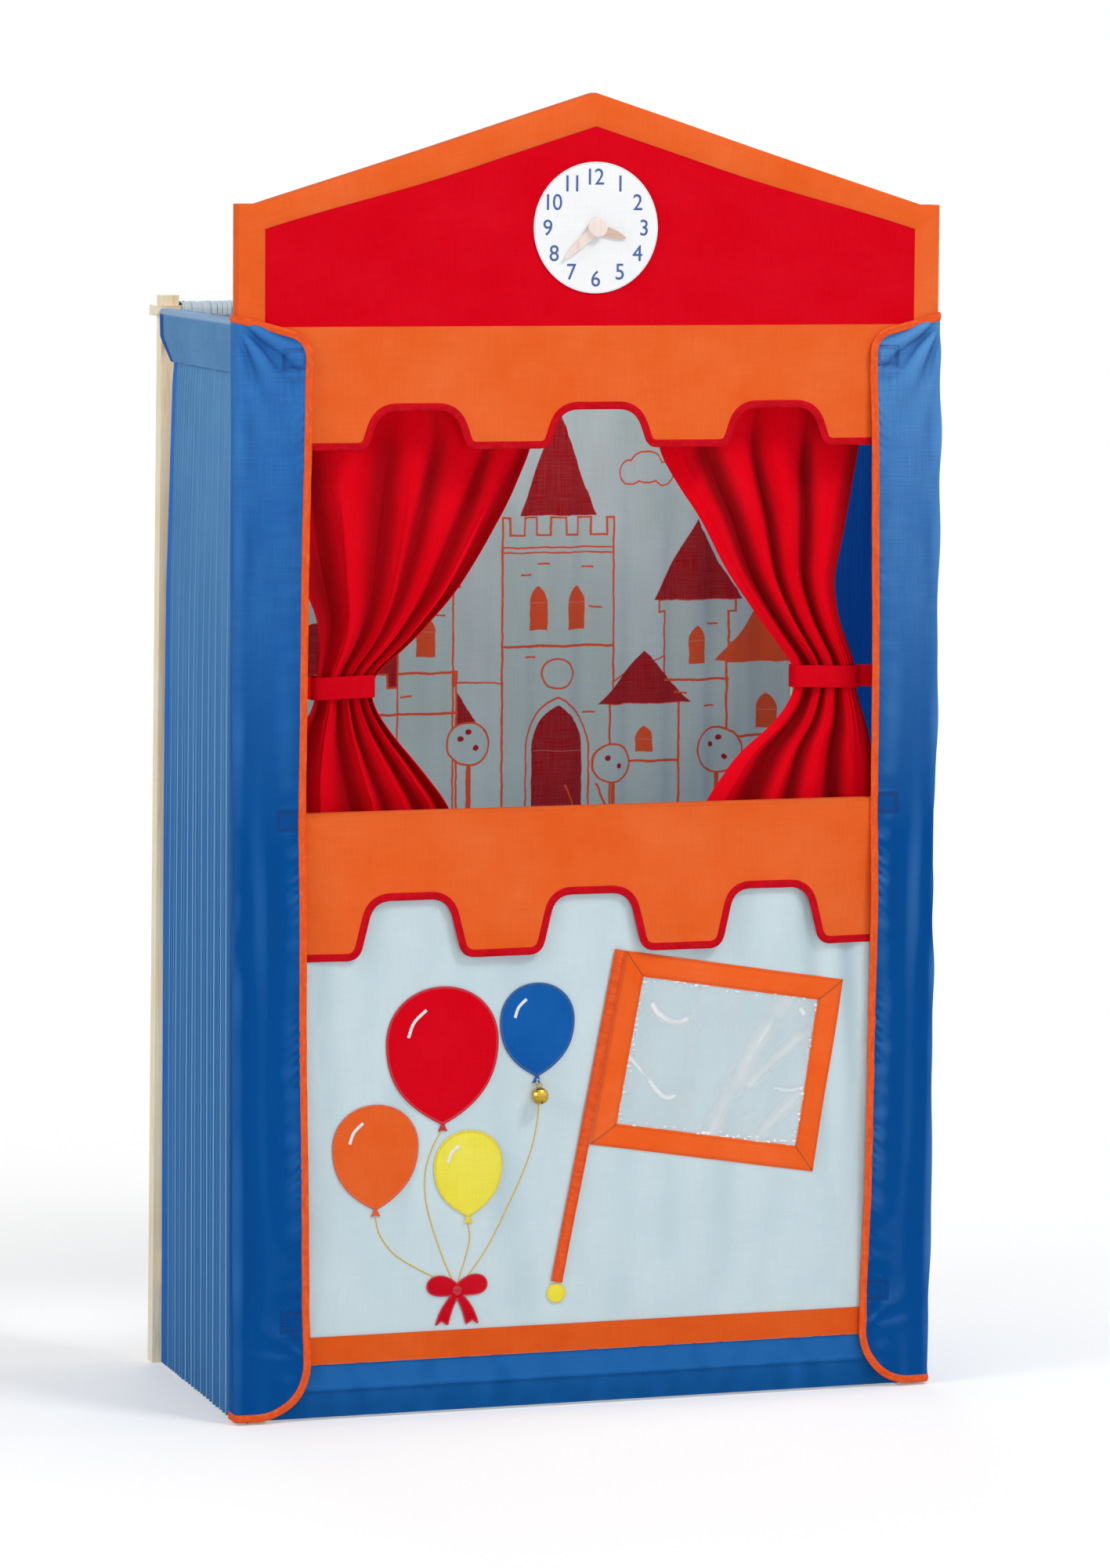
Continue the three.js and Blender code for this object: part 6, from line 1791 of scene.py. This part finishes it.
def patch(name, line, finish, front, rings=9, crown=0.5):
    """A sewn-on patch with that outline, a little fuller in its middle."""
    line = np.asarray(line, float)
    centre = (line.min(0) + line.max(0)) / 2

    def place(u, v):
        x, z = counted(looped(line), u * len(line))
        share = 0.02 + 0.98 * v
        x, z = centre[0] + (x - centre[0]) * share, centre[1] + (z - centre[1]) * share
        y = front - crown * np.sqrt(np.clip(1 - share**4, 0, 1)) + front_wave(x, z)
        return stack(x, y, z)

    piece = cloth_grid(name, len(line), rings, place, (1, 1), 0)
    mesh = piece.data
    mesh.uv_layers[0].data.foreach_set("uv", points_of(piece)[corners_of(mesh)][:, [0, 2]].ravel())
    pick(piece)
    bpy.ops.object.mode_set(mode="EDIT")
    bpy.ops.mesh.select_all(action="SELECT")
    bpy.ops.mesh.remove_doubles(threshold=0.00002)
    bpy.ops.mesh.select_all(action="DESELECT")
    bpy.ops.mesh.select_non_manifold()
    bpy.ops.object.mode_set(mode="OBJECT")
    middle = metres([[centre[0], 0, centre[1]]])[0]
    near = np.linalg.norm((points_of(piece) - middle)[:, [0, 2]], axis=1) < 0.004
    for vertex, close in zip(mesh.vertices, near):
        vertex.select = bool(vertex.select and close)
    for edge in mesh.edges:
        edge.select = all(mesh.vertices[i].select for i in edge.vertices)
    bpy.ops.object.mode_set(mode="EDIT")
    bpy.ops.mesh.fill()
    facing_out(piece)
    finish_with(piece, "SOLIDIFY", thickness=PATCH_THICK * 0.001, offset=0)
    round_off(piece)
    piece.data.materials.append(finish)
    return piece


def edging(name, node, line, colour, front, wide=3.0, proud=0.9, closed=True):
    line = spaced_round(line, 1.3) if closed else spaced(line, 1.3)
    piece = rolled(name, stack(line[:, 0], front + front_wave(line[:, 0], line[:, 1]), line[:, 1]), (0, -1, 0),
                   oval(wide, proud, 8, 0.7), closed=closed)
    dressed(piece, node, satins[colour], SLOT.get(colour, "white_thread"))
    return piece


def knotted(name, node, line, colour):
    """A balloon's tied end: close stitches that spread downwards."""
    line = spaced(line, 0.5)
    share = np.linspace(0, 1, len(line))
    pieces = []
    for i, side in enumerate((-1, -0.5, 0, 0.5, 1)):
        x = line[:, 0] + side * (1.2 + 3.4 * share**1.5)
        z = line[:, 1] - 0.8 * side**2 * share
        path = stack(x, -1.35 - 0.25 * (1 - abs(side)) + front_wave(x, z), z)
        pieces.append(rolled(f"{name}_{i}", path, (0, -1, 0), oval(2.2, 1.0, 8)))
    piece = joined(name, *pieces)
    dressed(piece, node, satins[colour], SLOT.get(colour, "white_thread"))
    return piece


STRINGS = {
    "red": [(-170, 309), (-180, 290), (-187, 262), (-184, 225), (-168, 175), (-152, 139)],
    "orange": [(-243, 219), (-238, 200), (-222, 178), (-195, 160), (-168, 146), (-153, 138)],
    "yellow": [(-138, 207), (-136, 190), (-141, 168), (-147, 150), (-150, 139)],
    "blue": [(BELL_X, 357), (-58, 330), (-66, 285), (-86, 235), (-114, 182), (-146, 139)],
}


def flowing(points):
    """A smooth line through some points."""
    points = np.array(points, float)
    at = np.arange(len(points)) / (len(points) - 1)
    fine = np.linspace(0, 1, 200)
    return spaced(np.stack([between(list(zip(at, points[:, k])), fine) for k in (0, 1)], 1), 1.3)


for colour, (centre, half) in BALLOONS.items():
    node = f"balloon_{colour}"
    line = balloon_line(centre, half)
    piece = patch(f"balloon_{colour}_cloth", line, COTTONS[colour], -0.9)
    rows = [edging(f"balloon_{colour}_edge", node, line, colour, -1.15)]
    (x, z), (w, h) = centre, half
    foot = z - h
    knot = np.array([(x, foot - 0.5), (x, foot - 7.4)])
    rows.append(knotted(f"balloon_{colour}_knot", node, knot, colour))
    shine = flowing([(x - w * 0.62, z + h * 0.28), (x - w * 0.52, z + h * 0.5), (x - w * 0.3, z + h * 0.68)])
    rows.append(edging(f"balloon_{colour}_shine", node, shine, "white", -1.95, 3.4, 0.7, False))
    rows.append(edging(f"balloon_{colour}_string", "front_panel", flowing(STRINGS[colour]), "gold", -0.15, 1.5, 0.8,
                       False))
    sheet(piece, node, COTTONS[colour], (2 * w, 2 * h))


def bow_line():
    reach, rise, knot, out, drop, width = 34, 15, 6, 24, 38, 9
    half = np.concatenate([
        curve4((0, knot), (reach / 2, rise * 1.5), (reach, rise), (reach, rise / 3), 12),
        curve4((reach, rise / 3), (reach, -rise / 2), (reach / 2, -knot), (knot, -knot), 12),
        bend((knot, -knot), (out * 0.8, -drop / 2), (out, -drop), 8)[:-1],
        [(out, -drop), (out - width * 0.7, -drop + width / 2), (out - 1.5 * width, -drop)],
        bend((out - 1.5 * width, -drop), (knot, -drop / 2), (0, -knot * 1.6), 8)[1:]])
    return np.concatenate([half, (half * [-1, 1])[::-1][1:-1]]) + BOW


def filled(name, line, front):
    """A flat shape cut from cloth with that outline, with soft edges."""
    thickness, bevel = 0.8, 0.25
    curve = bpy.data.curves.new(name, "CURVE")
    curve.dimensions, curve.fill_mode = "2D", "BOTH"
    curve.extrude, curve.bevel_depth, curve.bevel_resolution = (thickness / 2 - bevel) * 0.001, bevel * 0.001, 1
    spline = curve.splines.new("POLY")
    spline.points.add(len(line) - 1)
    for point, (x, z) in zip(spline.points, line):
        point.co = (x * 0.001, z * 0.001, 0, 1)
    spline.use_cyclic_u = True
    pick(added(name, curve))
    bpy.ops.object.convert(target="MESH")
    piece = bpy.context.object
    piece.data.transform(Matrix.Rotation(math.pi / 2, 4, "X"))
    co = points_of(piece)
    co[:, 1] += FRONT + (front + front_wave(co[:, 0] * 1000, co[:, 2] * 1000)) * 0.001
    piece.data.vertices.foreach_set("co", co.ravel())
    facing_out(piece, merged=0.00001)
    round_off(piece)
    return piece


red_flat = woven("red_picture_cotton", "#C8081F", "#98000F", "#DA1A2C", coordinate="Object")
bow = filled("balloon_bow_cloth", bow_line(), -0.9)
bow_edge = edging("balloon_bow_edge", "balloon_bow", bow_line(), "red", -1.2, 1.8, 0.8)
knot_line = oval_line((BOW[0], BOW[1] - 1), (2.6, 3.0), 20)
bow_knot = edging("balloon_bow_knot", "balloon_bow", knot_line, "red", -1.7, 5.6, 2.2)
sheet(bow, "balloon_bow", red_flat, (68, 62))
end_line = oval_line((-37, 125.5), (9.6, 9.6))
end_patch = patch("pole_end_cloth", end_line, yellow, -0.9, rings=5, crown=0.6)
end_edge = edging("pole_end_edge", "pole_end", end_line, "yellow", -1.15, 2.2, 1.0)
sheet(end_patch, "pole_end", yellow, (20, 20))

# Clock: its dial, edge and stitched numbers

CLOCK = (0.0, 1282.0)
DIAL_RADIUS, NUMBER_RADIUS, NUMBER_TALL = 69.4, 54.5, 17.2


def clock():
    outline = oval_line(CLOCK, (DIAL_RADIUS, DIAL_RADIUS))
    dial = patch("clock_dial_cloth", spaced_round(outline, 4.0), white, -0.75, rings=14, crown=0.15)
    line = spaced_round(outline, 1.3)
    edge = rolled("clock_dial_edge", stack(line[:, 0], -0.95, line[:, 1]), (0, -1, 0), oval(2.0, 0.9, 8), closed=True)
    dressed(edge, "clock_dial", satins["white"], "white_cloth")
    numbers = []
    for hour in range(1, 13):
        deselect()
        bpy.ops.object.text_add(location=(0, 0, 0))
        text = bpy.context.object
        text.data.body = str(hour)
        text.data.align_x, text.data.align_y = "CENTER", "CENTER"
        text.data.extrude = 0.004
        text.data.bevel_depth = 0.004
        text.data.space_character = 0.92
        bpy.ops.object.convert(target="MESH")
        text = bpy.context.object
        co = points_of(text)
        low, high = co.min(0), co.max(0)
        size = NUMBER_TALL / (high[1] - low[1])
        co[:, :2] = (co[:, :2] - (low + high)[:2] / 2) * size
        co[:, 0] *= 0.96
        angle = math.radians(30 * hour)
        co[:, 0] += CLOCK[0] + NUMBER_RADIUS * math.sin(angle)
        co[:, 1] += CLOCK[1] + NUMBER_RADIUS * math.cos(angle)
        place = stack(co[:, 0], -1.36 - co[:, 2] * 22, co[:, 1])
        text.data.vertices.foreach_set("co", metres(place).ravel())
        text.data.update()
        numbers.append(text)
    numbers = joined("clock_numbers", *numbers)
    facing_out(numbers, merged=0.00001, slivers=0.00002)
    round_off(numbers)
    dressed(numbers, "clock_dial", number_blue, "white_cloth")
    sheet(dial, "clock_dial", white, (140, 140))


clock()


def bell_loop():
    """The thread loop that the bell hangs from, sewn into the knot."""
    low, high = 357.1 + 0.55, 362.6
    line = np.array([(-1.9, high - 0.4), (-9, high - 0.2), (-14.6, high - 0.8), (-15.5, high - 2.2),
                     (-15.2, low + 0.9), (-14, low), (-9, low - 0.1), (-3, low), (-2.0, low + 0.8)])
    loop = spaced_round(line, 1.2)
    piece = rolled("bell_loop_thread", stack(BELL_X, loop[:, 0], loop[:, 1]), (1, 0, 0), oval(1.1, 1.4, 8),
                   closed=True)
    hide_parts("bell_loop")
    dressed(piece, "bell_loop", pale_thread, "white_thread")


bell_loop()
